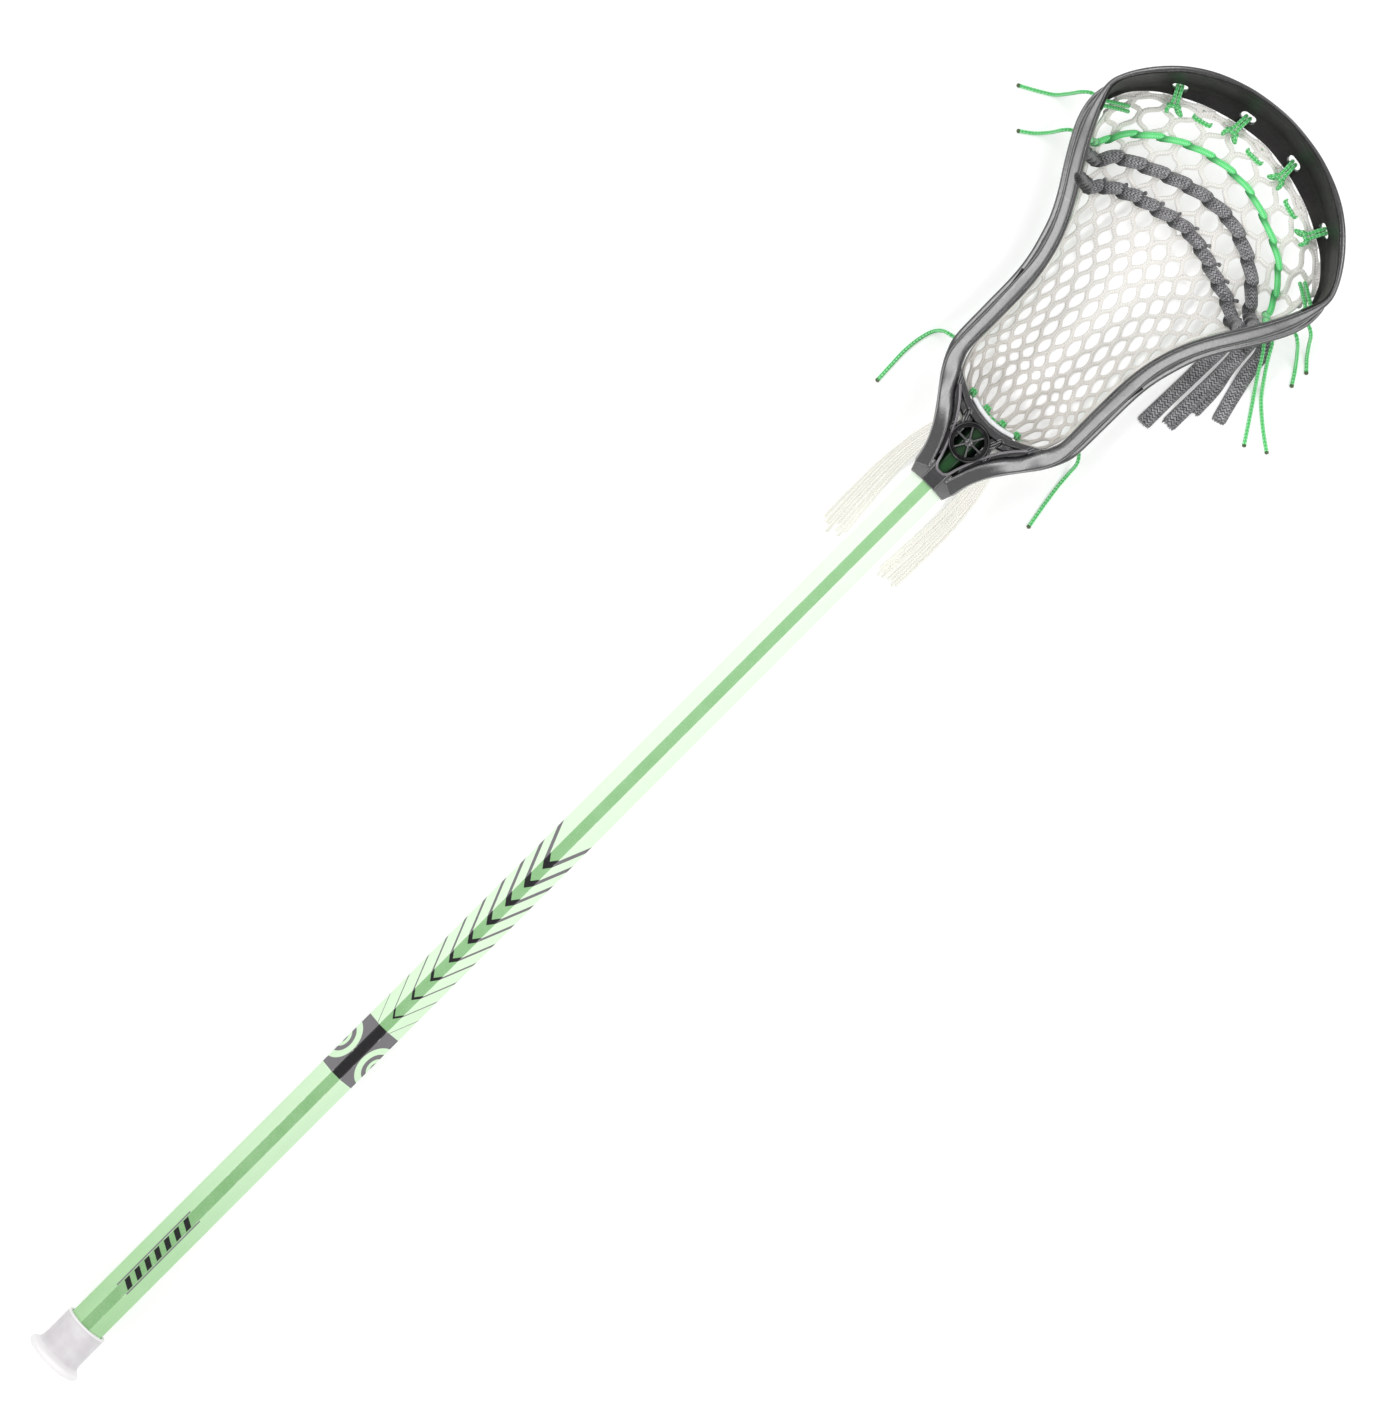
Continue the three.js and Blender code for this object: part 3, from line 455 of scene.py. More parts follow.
    # small rubs along the edges between the facets
    edge = k.mul(k.ramp(k.absol(k.sub(p, SHAFT_HALF)), 0.0, 0.45, 1.0, 0.0), k.ramp(k.noise(v, 0.22, 3.0, 0.6), 0.55, 0.62))
    colour = k.mix(k.mul(edge, 0.35), colour, srgb(236, 240, 236))
    rough = k.ramp(k.noise(v, 0.8, 3.0, 0.6), 0.3, 0.7, 0.34, 0.46)
    rough = k.sub(rough, k.mul(dark, 0.04))
    fine = k.noise(v, 4.0, 2.0, 0.6)
    normal = k.bump(fine, 0.10, 0.0001)
    return k.out(colour, rough, normal, Metallic=0.0, IOR=1.5, Specular_IOR_Level=0.32, Coat_Weight=0.08, Coat_Roughness=0.30)


def rubber_material():
    k = Nodes("cap_rubber")
    x, y, z, v = k.coords()
    c = k.mix(k.ramp(k.noise(v, 0.12, 3.0, 0.5), 0.35, 0.7), srgb(203, 199, 202), srgb(216, 213, 215))
    # painted highlight: the rounded end flange and the lip at the sleeve's end are painted lighter than the sleeve
    c = k.mix(k.maxi(k.ramp(x, 8.5, 5.5), k.ramp(x, 30.3, 30.9)), c, srgb(236, 234, 235))
    scuff = k.mul(k.ramp(k.noise(v, 0.55, 4.0, 0.65), 0.60, 0.72), k.ramp(x, 7.0, 2.0))
    c = k.mix(k.mul(scuff, 0.30), c, srgb(196, 193, 190))
    r = k.ramp(k.noise(v, 1.5, 3.0, 0.6), 0.3, 0.7, 0.42, 0.55)
    h = k.noise(v, 3.0, 2.0, 0.5)
    return k.out(c, r, k.bump(h, 0.10, 0.00015), IOR=1.5, Sheen_Weight=0.1)


def plastic_material(name="head_plastic", tint=(22, 20, 23), light=(33, 31, 34), r0=0.25, r1=0.33, spec=1.0, coat=0.9):
    k = Nodes(name)
    x, y, z, v = k.coords()
    cloud = k.noise(v, 0.06, 4.0, 0.6)
    c = k.mix(k.ramp(cloud, 0.35, 0.7), srgb(*tint), srgb(*light))
    speck = k.noise(v, 2.6, 2.0, 0.7)
    c = k.mix(k.ramp(speck, 0.55, 0.75, 0.0, 0.16), c, srgb(126, 122, 127))
    c = k.mix(k.ramp(speck, 0.45, 0.25, 0.0, 0.25), c, srgb(34, 32, 35))
    scratch = k.noise(v, 0.35, 6.0, 0.75)
    rough = k.ramp(scratch, 0.3, 0.7, r0, r1)
    # painted shade: the floor of the recess at the throat is darkened to near black
    q = k.sub(x, 732.7)
    line = k.add(4.6, k.add(k.mul(q, 0.255), k.mul(k.mul(q, q), 0.0065)))
    inside = k.mul(k.ramp(k.sub(line, k.absol(y)), -0.2, 0.3), k.mul(k.band(x, 731.6, 777.5, 0.3), k.ramp(z, 1.0, 2.5)))
    c = k.mix(k.mul(inside, k.ramp(z, 10.2, 9.6)), c, srgb(20, 19, 21))
    grain = k.noise(v, 3.0, 3.0, 0.6)
    normal = k.bump(grain, 0.12, 0.00012)
    return k.out(c, rough, normal, IOR=1.52, Specular_IOR_Level=spec, Coat_Weight=coat, Coat_Roughness=0.19)


def foam_material():
    k = Nodes("foam")
    x, y, z, v = k.coords()
    cells = k.voronoi(v, 1.6)
    c = k.mix(k.ramp(cells, 0.1, 0.6), srgb(206, 208, 211), srgb(236, 237, 239))
    return k.out(c, 0.85, k.bump(cells, 0.35, 0.0004), Sheen_Weight=0.2, Sheen_Roughness=0.5)


def yarn_material(name, low, high, period, rows, depth, rough=0.85, sheen=0.25, fleck=None, lean=0.5, crease_shade_colour=None, painted_glow=0.0, throat_shade=None):
    """Knitted or braided yarn: rows of leaning stitches along u, on the strand's own UV, with painted shade in the gaps
    between them.
    """
    k = Nodes(name)
    u, w, uv = k.uv()
    x, y, z, v = k.coords()
    ring = k.absol(k.sub(k.math("FRACT", k.mul(w, float(rows))), 0.5))  # 0 at a row's middle, 0.5 at its edge
    along = k.math("FRACT", k.add(k.math("DIVIDE", u, period), k.mul(ring, lean * 2)))
    loop = k.absol(k.sub(along, 0.5))  # 0.5 at a stitch's ends
    height = k.mul(k.ramp(ring, 0.5, 0.15, 0.0, 1.0, "SMOOTHSTEP"), k.ramp(loop, 0.5, 0.12, 0.0, 1.0, "SMOOTHSTEP"))
    # painted shade: the colour runs from low in the gaps between stitches and rows to high on their tops
    c = k.mix(height, srgb(*low), srgb(*high))
    tone = k.noise(v, 0.35, 3.0, 0.6)
    c = k.mix(k.ramp(tone, 0.4, 0.75, 0.0, 0.35), c, srgb(*low))
    fuzz = k.noise(v, 6.0, 2.0, 0.7)
    # painted shade: the colour darkens towards the throat, where the net lies deep between the sidewalls
    if throat_shade:
        c = k.mix(k.ramp(x, throat_shade[0], throat_shade[1], 0.0, 0.6), c, srgb(*throat_shade[2]))
    if fleck:
        c = k.mix(k.ramp(fuzz, 0.52, 0.68, 0.0, 0.6), c, srgb(*fleck))
    if crease_shade_colour:
        crease_shade = k.node("ShaderNodeAttribute", attribute_name="crease_shade").outputs["Fac"]
        # painted shade: folds darken in the creases where they lap over one another
        c = k.mix(k.mul(crease_shade, 0.85), c, srgb(*crease_shade_colour))
    total = k.add(height, k.mul(fuzz, 0.35))
    # painted light: the yarn gives off a faint warm light of its own, though it is no lamp
    return k.out(c, rough, k.bump(total, 0.7, depth), Sheen_Weight=sheen, Sheen_Roughness=0.45, IOR=1.45,
                 Emission_Color=(1.0, 0.985, 0.95, 1.0), Emission_Strength=painted_glow)


def weave_material(name, low, high, pitch=1.4):
    """Flat woven lace: a herringbone of small leaning ribs in ten rows, firmer edges, loose bright threads, and painted
    shade where each fold laps over the next.
    """
    k = Nodes(name)
    u, w, uv = k.uv()
    x, y, z, v = k.coords()
    crease_shade = k.node("ShaderNodeAttribute", attribute_name="crease_shade").outputs["Fac"]
    across = k.mul(w, 16.0)
    tooth = k.absol(k.sub(k.math("FRACT", across), 0.5))
    ribs = k.math("FRACT", k.add(k.math("DIVIDE", u, pitch), k.mul(tooth, 1.4)))
    rib = k.ramp(k.absol(k.sub(ribs, 0.5)), 0.5, 0.10, 0.0, 1.0, "SMOOTHSTEP")
    # painted shade: the colour runs from low in the grooves between the ribs to high on their tops
    c = k.mix(rib, srgb(*low), srgb(*high))
    stretch = k.node("ShaderNodeCombineXYZ")
    k.plug(k.mul(u, 0.30), stretch.inputs[0])
    k.plug(k.mul(w, 9.0), stretch.inputs[1])
    streak = k.noise(stretch.outputs[0], 2.2, 4.0, 0.65)
    c = k.mix(k.ramp(streak, 0.42, 0.62, 0.0, 0.55), c, srgb(*low))
    c = k.mix(k.ramp(streak, 0.42, 0.30, 0.0, 0.45), c, srgb(176, 175, 179))
    tone = k.noise(v, 0.30, 3.0, 0.6)
    c = k.mix(k.ramp(tone, 0.48, 0.70, 0.0, 0.55), c, srgb(*low))
    c = k.mix(k.ramp(tone, 0.46, 0.30, 0.0, 0.40), c, srgb(172, 171, 175))
    fuzz = k.noise(v, 4.0, 3.0, 0.7)
    c = k.mix(k.ramp(fuzz, 0.55, 0.70, 0.0, 0.35), c, srgb(186, 185, 188))
    # painted shade: folds darken in the creases where they lap over one another
    c = k.mix(k.mul(crease_shade, 0.9), c, srgb(16, 15, 17))
    total = k.add(rib, k.mul(fuzz, 0.5))
    return k.out(c, 0.88, k.bump(total, 0.9, 0.0006), Sheen_Weight=0.3, Sheen_Roughness=0.4, IOR=1.45)


def tip_material():
    """The end of a cord where its threads were melted together: brown over green, smooth, with small bubbles."""
    k = Nodes("cord_tip")
    x, y, z, v = k.coords()
    n = k.noise(v, 1.4, 3.0, 0.6)
    c = k.mix(k.ramp(n, 0.35, 0.65), srgb(48, 52, 34), srgb(92, 118, 74))
    return k.out(c, k.ramp(n, 0.3, 0.7, 0.25, 0.5), k.bump(k.noise(v, 3.0, 2.0, 0.6), 0.5, 0.0003))


def steel_material():
    k = Nodes("screw_steel")
    x, y, z, v = k.coords()
    c = k.mix(k.ramp(k.noise(v, 0.6, 3.0, 0.6), 0.35, 0.7), srgb(150, 150, 152), srgb(188, 188, 190))
    r = k.ramp(k.noise(v, 2.0, 4.0, 0.6), 0.3, 0.7, 0.24, 0.42)
    return k.out(c, r, k.bump(k.noise(v, 3.5, 2.0, 0.5), 0.15, 0.00008), Metallic=1.0)


M_SHAFT = shaft_material()
M_CAP = rubber_material()
M_HEAD = plastic_material()
M_WALL = plastic_material("head_plastic_wall", (38, 37, 37), (50, 49, 48), 0.36, 0.46, 0.08, 0.0)
# painted shade: the badge in the recess gets a darker copy of the head plastic
M_BADGE_SHADE = plastic_material("head_plastic_recess_shade", (20, 19, 21), (30, 28, 31), 0.24, 0.34, 0.95, 0.8)
# painted highlight: the thin ridge round the recess gets a lighter, mid-grey copy of the head plastic
M_RIDGE_HIGHLIGHT = plastic_material("head_plastic_ridge_highlight", (92, 88, 92), (118, 113, 118), 0.25, 0.34, 0.7, 0.4)
M_FOAM = foam_material()
# painted shade: the net darkens towards the throat
M_MESH = yarn_material("mesh_knit", (234, 230, 224), (255, 253, 250), 1.5, 3, 0.0005, sheen=0.3, painted_glow=0.05, throat_shade=(880, 785, (203, 195, 187)))
# painted light: the loose ends give off more light of their own than the net
M_LOOSE = yarn_material("mesh_knit_loose", (234, 231, 221), (254, 252, 247), 1.5, 3, 0.0005, sheen=0.3, painted_glow=0.22)
M_CORD = yarn_material("cord_green", (60, 190, 88), (168, 255, 188), 2.1, 4, 0.0005, rough=0.6, sheen=0.3)
M_NYLON = yarn_material("nylon_green", (94, 230, 126), (160, 255, 184), 1.0, 5, 0.00025, rough=0.5, sheen=0.3, crease_shade_colour=(20, 118, 50))
M_LACE = weave_material("lace_grey", (62, 61, 64), (200, 198, 202), pitch=2.1)
M_STEEL = steel_material()
M_TIP = tip_material()


# ------------------------------------------------------------------ the head's tables, as in the CAD model
RAIL = [
    [725.3, 14.7, 729.3, 5.2, 727.0, 15.2, 731.1, 5.6, 15.0, -15.0, 8.0],
    [736.2, 17.2, 738.6, 8.1, 738.1, 17.6, 740.6, 7.9, 15.0, -15.5, 6.5],
    [746.1, 21.4, 749.6, 12.4, 748.2, 22.0, 751.6, 13.0, 14.5, -17.0, 5.0],
    [755.4, 26.9, 760.1, 18.5, 757.8, 28.1, 762.2, 20.0, 13.5, -20.0, 3.5],
    [764.8, 33.9, 770.0, 26.6, 767.5, 35.1, 772.6, 28.0, 12.0, -24.0, 2.0],
    [774.2, 40.5, 779.4, 31.6, 776.6, 41.6, 780.9, 34.4, 10.5, -28.5, 1.0],
    [784.2, 45.0, 787.7, 35.9, 787.0, 47.0, 789.8, 39.5, 9.0, -32.5, 0.0],
    [794.8, 46.5, 795.9, 38.0, 797.9, 50.0, 798.9, 42.0, 7.5, -36.0, 0.0],
    [817.1, 46.7, 817.1, 38.0, 821.2, 50.6, 821.2, 42.6, 5.0, -39.5, 0.0],
    [840.5, 47.6, 840.5, 38.3, 844.9, 51.0, 844.9, 43.0, 3.0, -41.5, 0.0],
    [856.9, 48.7, 858.0, 40.1, 860.3, 52.7, 861.4, 44.8, 2.0, -42.0, 0.0],
    [870.9, 51.7, 873.8, 43.9, 874.5, 56.3, 877.2, 48.8, 1.5, -42.0, 0.0],
    [884.2, 56.9, 887.6, 49.4, 887.3, 60.7, 890.7, 53.4, 2.0, -41.5, 0.0],
    [896.7, 63.6, 901.4, 56.9, 900.2, 67.4, 904.7, 60.9, 3.5, -40.5, 0.0],
    [909.7, 71.9, 914.4, 65.0, 912.9, 75.6, 917.4, 69.0, 6.0, -39.0, 0.0],
    [922.6, 79.4, 926.7, 72.4, 925.5, 83.2, 929.5, 76.3, 9.0, -36.5, 0.0],
    [935.4, 85.3, 938.9, 78.7, 938.0, 89.5, 941.7, 82.4, 12.5, -33.5, 0.0],
    [947.7, 89.0, 949.4, 83.2, 950.4, 92.4, 955.2, 84.4, 15.5, -30.0, 0.0],
    [958.8, 90.3, 958.2, 86.0, 961.9, 90.6, 962.3, 82.2, 18.5, -26.5, 0.0],
    [967.7, 87.7, 966.0, 84.5, 971.0, 84.0, 968.9, 78.7, 20.5, -23.5, 0.0],
    [977.8, 81.6, 974.9, 78.7, 978.1, 76.3, 974.9, 73.1, 22.5, -21.0, 0.0],
    [987.2, 73.7, 983.8, 70.8, 984.4, 68.6, 980.9, 65.7, 24.5, -18.5, 0.0],
    [996.2, 63.9, 992.7, 61.6, 989.0, 60.0, 985.3, 57.5, 26.0, -16.5, 0.0],
    [1004.1, 51.8, 1000.0, 50.1, 993.8, 51.1, 989.7, 49.3, 27.0, -15.0, 0.0],
    [1010.2, 37.4, 1006.8, 36.2, 998.8, 38.8, 994.5, 37.3, 28.0, -14.0, 0.0],
    [1014.4, 21.3, 1011.3, 20.7, 1003.2, 22.1, 998.8, 21.3, 28.6, -13.3, 0.0],
    [1016.4, 0.0, 1013.5, 0.0, 1005.9, 0.0, 1001.4, 0.0, 29.0, -13.0, 0.0],
]
TIPN = len(RAIL) - 1
SCOOP = 19
THROAT_ARC = [[783.6, 35.2], [780.0, 29.3], [776.6, 23.2], [773.4, 16.2], [771.4, 8.7], [770.4, 0]]
TAILS = [
    ["string_tail_1", [[956.0, 88.8, -31.4], [954.2, 94.6, -30.6], [951.5, 98.6, -33.5], [947.0, 104.0, -47], [941.6, 110.6], [936.5, 118.8], [930.5, 129.6]]],
    ["string_tail_2", [[933.6, 83.0, -37.6], [930.9, 88.2, -36.8], [928.3, 91.0, -39], [923.6, 95.6, -50], [917.2, 102.4], [911.2, 110.4]]],
    ["string_tail_3", [[797.6, 46.2, -38.4], [796.2, 51.4, -37.6], [795.6, 54.3, -38.4], [794.6, 58.0, -44], [790.3, 61.9], [781.0, 64.4], [770.4, 65.3], [758.5, 64.9], [746.8, 64.3]]],
    ["string_tail_4", [[802.0, -48.2, -38.6], [797.8, -52.4, -38.0], [795.0, -53.9, -39.5], [788.0, -54.8, -49], [778.5, -55.6], [765.8, -57.4], [748.7, -60.4]]],
    ["string_tail_5", [[925.6, -79.0, -38.6], [920.6, -83.5, -38.0], [917.0, -86.2, -39], [908.0, -92.6, -46], [898.6, -100.2], [886.1, -108.7], [873.6, -117.0]]],
    ["string_tail_6", [[930.4, -81.6, -37.6], [925.2, -85.8, -37.0], [921.5, -87.9, -38], [912.8, -94.6, -48], [900.5, -104.8], [889.6, -117.0], [880.3, -129.6]]],
    ["string_tail_7", [[940.6, -86.2, -35.6], [939.0, -91.9, -34.4], [937.3, -94.8, -36], [934.2, -99.6, -46], [927.6, -106.3], [918.7, -112.1]]],
    ["string_tail_8", [[949.4, -88.8, -32.8], [947.2, -94.6, -31.8], [945.4, -97.6, -34.5], [941.6, -102.0, -48], [936.4, -107.3], [930.4, -112.9]]],
]
LACE_TAILS = [
    ["lace_tail_1", [[908.5, -65.8, -43.2], [901.5, -65.9, -46.5], [892.0, -65.8, -54.5], [881.0, -65.7], [863.0, -65.2], [841.8, -64.8]]],
    ["lace_tail_2", [[911.0, -75.4, -41.4], [903.0, -76.2, -46.0], [893.0, -76.6, -53.1], [880.0, -76.5, -52.9], [866.5, -76.3, -52.2], [858.5, -76.2], [851.5, -76.2]]],
    ["lace_tail_3", [[921.6, -75.3, -42.9], [918.0, -75.7, -44.7], [909.0, -76.4, -48.7], [897.9, -77.8], [885.4, -80.0], [867.7, -80.9]]],
    ["lace_tail_4", [[932.0, -75.5, -41.6], [925.6, -81.3, -42.6], [918.2, -85.4, -45.8], [906.0, -87.6, -54.0], [889.6, -91.4], [874.2, -95.4]]],
]
FRINGE = [[777.5, 12.6, -16.6], [767, 14.6, -21.5], [754, 18.5, -29.5], [738, 22.2, -40.5], [720, 23.6], [695, 23.2], [662, 21.8]]


def route(points, lift, n=24):
    P = [[p[0], p[1], p[2] if len(p) > 2 else floor_z(p[0]) + lift] for p in points]
    Q = catmull(P, n)
    Q[:, 2] = np.maximum(Q[:, 2], floor_z(Q[:, 0]) + lift)
    return Q


# ------------------------------------------------------------------ free cord ends
def braid_wave(step, period=3.4, lobes=4, depth=0.07):
    def wave(i, a):
        ph = i * step / period * 2 * np.pi
        return 1 - depth + depth * np.maximum(np.cos(lobes * a / 2 + ph) ** 2, np.cos(lobes * a / 2 - ph) ** 2)
    return wave


def cord_mesh(b, P, diameter, sides=12, step=0.45, period=3.4, taper=None):
    n = max(8, int(length_of(P) / step))
    Q = even(P, n)
    r = diameter / 2 * np.ones(n + 1)
    if taper is not None:
        r = r * taper(np.linspace(0, 1, n + 1), length_of(P))
    b.sweep(Q, circle(n + 1, sides, r, braid_wave(step, period)), u0=0.0)
    return Q


cord_objects = {}
for name, pts in TAILS:
    P = catmull(route(pts, TAIL_D / 2 + 0.1), 120)
    P[:, 2] = np.maximum(P[:, 2], floor_z(P[:, 0]) + TAIL_D / 2 + 0.05)
    b = Build()
    L = length_of(P)

    def sealed(s, length):
        e = (1 - s) * length
        return 1 + 0.10 * np.exp(-((e - 0.8) / 0.7) ** 2) - 0.25 * np.exp(-(e / 0.35) ** 2)
    cord_mesh(b, P, TAIL_D, taper=sealed)
    o = b.object(name + "_cord", M_CORD)
    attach(o, "stick")
    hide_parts(name)
    # the melted end is a small separate bead round the cord's last 1.6 mm
    bead = Build()
    E = even(P, 200)
    keep = [i for i in range(len(E)) if length_of(E[i:]) < 1.7]
    Q = E[keep[0]:]
    rr = TAIL_D / 2 * (1.03 + 0.07 * np.sin(np.linspace(0, np.pi, len(Q))))
    bead.sweep(Q, circle(len(Q), 14, rr), dome=0.5)
    cord_objects[name] = (o, P, bead)
    bo = bead.object(name + "_melted_end", M_TIP)
    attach(bo, "stick")
    cord_objects[name] = (o, bo)

for name, pts in LACE_TAILS:
    P = catmull(route(pts, LACE_T / 2 + 0.1), 90)
    P[:, 2] = np.maximum(P[:, 2], floor_z(P[:, 0]) + LACE_T / 2 + 0.05)
    n = len(P) - 1
    s = np.linspace(0, 1, n + 1)
    seed = {"lace_tail_1": 0.3, "lace_tail_2": 1.7, "lace_tail_3": 2.9, "lace_tail_4": 4.1}[name]
    w = LACE_W * (0.97 + 0.03 * np.sin(7 * s + seed))
    ring = ellipse(n + 1, 20, w, LACE_T * 0.92, power=0.55)
    b = Build()
    b.sweep(P, ring, up=(0, 0, 1), dome=0.0)
    o = b.object(name + "_lace", M_LACE, sharp=50)
    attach(o, "stick")
    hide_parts(name)
    # frayed threads at the cut end
    fray = Build()
    rng = np.random.default_rng(int(seed * 100))
    T, N, B = frames_of(P, (0, 0, 1))
    for q in range(14):
        off = (q + 0.5) / 14 - 0.5
        p0 = P[-1] + N[-1] * off * w[-1] * 0.92
        d = T[-1] * (1.0 + 1.1 * rng.random()) + N[-1] * (rng.random() - 0.5) * 0.5 + np.array([0, 0, (rng.random() - 0.4) * 0.3])
        F = np.stack([p0 - T[-1] * 0.8, p0, p0 + d * 0.6, p0 + d])
        F[:, 2] = np.maximum(F[:, 2], floor_z(F[:, 0]) + 0.35)
        fray.sweep(F, circle(4, 5, 0.26), dome=0.3)
    fo = fray.object(name + "_fray", M_LACE)
    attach(fo, "stick")


# ------------------------------------------------------------------ handle
def octagon(flats, half, bevel, steps=4):
    """Section with rounded corners, (y, z) points."""
    a, h = flats / 2, half
    pts = [(h, a), (-h, a), (-a, h), (-a, -h), (-h, -a), (h, -a), (a, -h), (a, h)]
    out = []
    for i, p in enumerate(pts):
        p, q, r = np.array(pts[i - 1]), np.array(p), np.array(pts[(i + 1) % 8])
        u, w = (p - q) / np.linalg.norm(p - q), (r - q) / np.linalg.norm(r - q)
        A, C = q + u * bevel, q + w * bevel
        for s in np.linspace(0, 1, steps + 1):
            out.append((1 - s) ** 2 * A + 2 * s * (1 - s) * q + s**2 * C)
    return np.array(out)


def shaft():
    outer, bore = octagon(SHAFT_FLATS, SHAFT_HALF, 0.75), octagon(SHAFT_FLATS - 2.2, SHAFT_HALF - 1.1 * 0.41421, 0.5)
    m = len(outer)
    xs = np.concatenate([[SHAFT_START, SHAFT_START + 0.35], np.linspace(12, 757, 75), [SHAFT_END - 0.35, SHAFT_END]])
    V, faces = [], []
    for i, x in enumerate(xs):
        inset = 0.3 if i in (0, len(xs) - 1) else 0.0
        k = 1 - inset / 11.4
        V += [(x, y * k, z * k) for y, z in outer]
    n = len(xs)
    for i, x in enumerate(xs):
        V += [(x, y, z) for y, z in bore]
    for i in range(n - 1):
        for j in range(m):
            k = (j + 1) % m
            faces.append((i * m + j, i * m + k, (i + 1) * m + k, (i + 1) * m + j))
            faces.append(((n + i) * m + j, (n + i + 1) * m + j, (n + i + 1) * m + k, (n + i) * m + k))
    for j in range(m):
        k = (j + 1) % m
        faces.append((j, n * m + j, n * m + k, k))
        faces.append(((n - 1) * m + j, (n - 1) * m + k, (2 * n - 1) * m + k, (2 * n - 1) * m + j))
    b = Build()
    b.add(V, faces)
    o = b.object("handle", M_SHAFT, sharp=28)
    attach(o, "stick")
    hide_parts("shaft_tube")
    return o


shaft()


def end_cap():
    """Turned rubber cap: domed end, rounded bead, small fillet, plain sleeve with a lip, eight-sided socket."""
    prof = [(0.0, 0.05), (3, 0.1), (6, 0.22), (9, 0.42), (12, 0.78), (14.5, 1.2), (16.3, 1.62), (17.4, 2.1), (18.0, 2.65), (18.35, 3.3), (18.45, 4.0),
            (18.3, 4.7), (17.9, 5.3), (17.2, 5.85), (16.3, 6.35), (15.5, 6.9), (14.9, 7.6), (14.45, 8.6), (14.2, 9.8), (14.05, 11.5), (13.95, 14.0),
            (13.9, 18.0), (13.88, 22.0), (13.86, 26.0), (13.84, 29.2), (13.86, 29.7), (14.02, 30.1), (14.12, 30.5), (14.08, 30.95), (13.85, 31.3), (13.4, 31.5), (12.9, 31.55)]
    P = catmull(prof, 110)
    m = 96
    a = np.linspace(0, 2 * np.pi, m, endpoint=False)
    V, faces = [], []
    for r, x in P[1:]:
        V += [(x, r * math.cos(t), r * math.sin(t)) for t in a]
    n = len(P) - 1
    # socket: the octagon's radius by angle
    sock = octagon(SHAFT_FLATS + 0.6, SHAFT_HALF + 0.12, 0.6)
    ang = np.arctan2(sock[:, 1], sock[:, 0])
    order = np.argsort(ang)
    rad = np.linalg.norm(sock, axis=1)[order]
    rs = np.interp((a + np.pi) % (2 * np.pi) - np.pi, ang[order], rad, period=2 * np.pi)
    # densify the polygon by intersecting rays instead of by radius, so that the flats stay flat
    poly = sock[order]
    for i, t in enumerate(a):
        d = np.array([math.cos(t), math.sin(t)])
        best = None
        for j in range(len(poly)):
            A, C = poly[j], poly[(j + 1) % len(poly)]
            M = np.array([d, -(C - A)]).T
            if abs(np.linalg.det(M)) < 1e-9:
                continue
            s, w = np.linalg.solve(M, A)
            if s > 0 and -1e-6 <= w <= 1 + 1e-6:
                best = s if best is None else min(best, s)
        rs[i] = best if best else rs[i]
    for x, grow in ((31.45, 0.25), (31.0, 0.0), (16.0, 0.0), (3.75, 0.0)):
        V += [(x, (r + grow) * math.cos(t), (r + grow) * math.sin(t)) for r, t in zip(rs, a)]
    total = n + 4
    for i in range(total - 1):
        for j in range(m):
            k = (j + 1) % m
            faces.append((i * m + j, i * m + k, (i + 1) * m + k, (i + 1) * m + j))
    V += [(P[0][1], 0, 0), (3.75, 0, 0)]
    for j in range(m):
        k = (j + 1) % m
        faces.append((total * m, k, j))
        faces.append((total * m + 1, (total - 1) * m + j, (total - 1) * m + k))
    b = Build()
    b.add(V, faces)
    o = b.object("butt_cap", M_CAP, sharp=50)
    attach(o, "cap")
    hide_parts("end_cap")


end_cap()


# ------------------------------------------------------------------ head
def mirrored(r):
    return [r[0], -r[1], r[2], -r[3], r[4], -r[5], r[6], -r[7], r[8], r[9], r[10]]


def station(t, side=1):
    i = min(TIPN - 1, int(math.floor(t)))
    f = t - i
    r = [RAIL[i][k] + (RAIL[i + 1][k] - RAIL[i][k]) * f for k in range(11)]
    return r if side > 0 else mirrored(r)


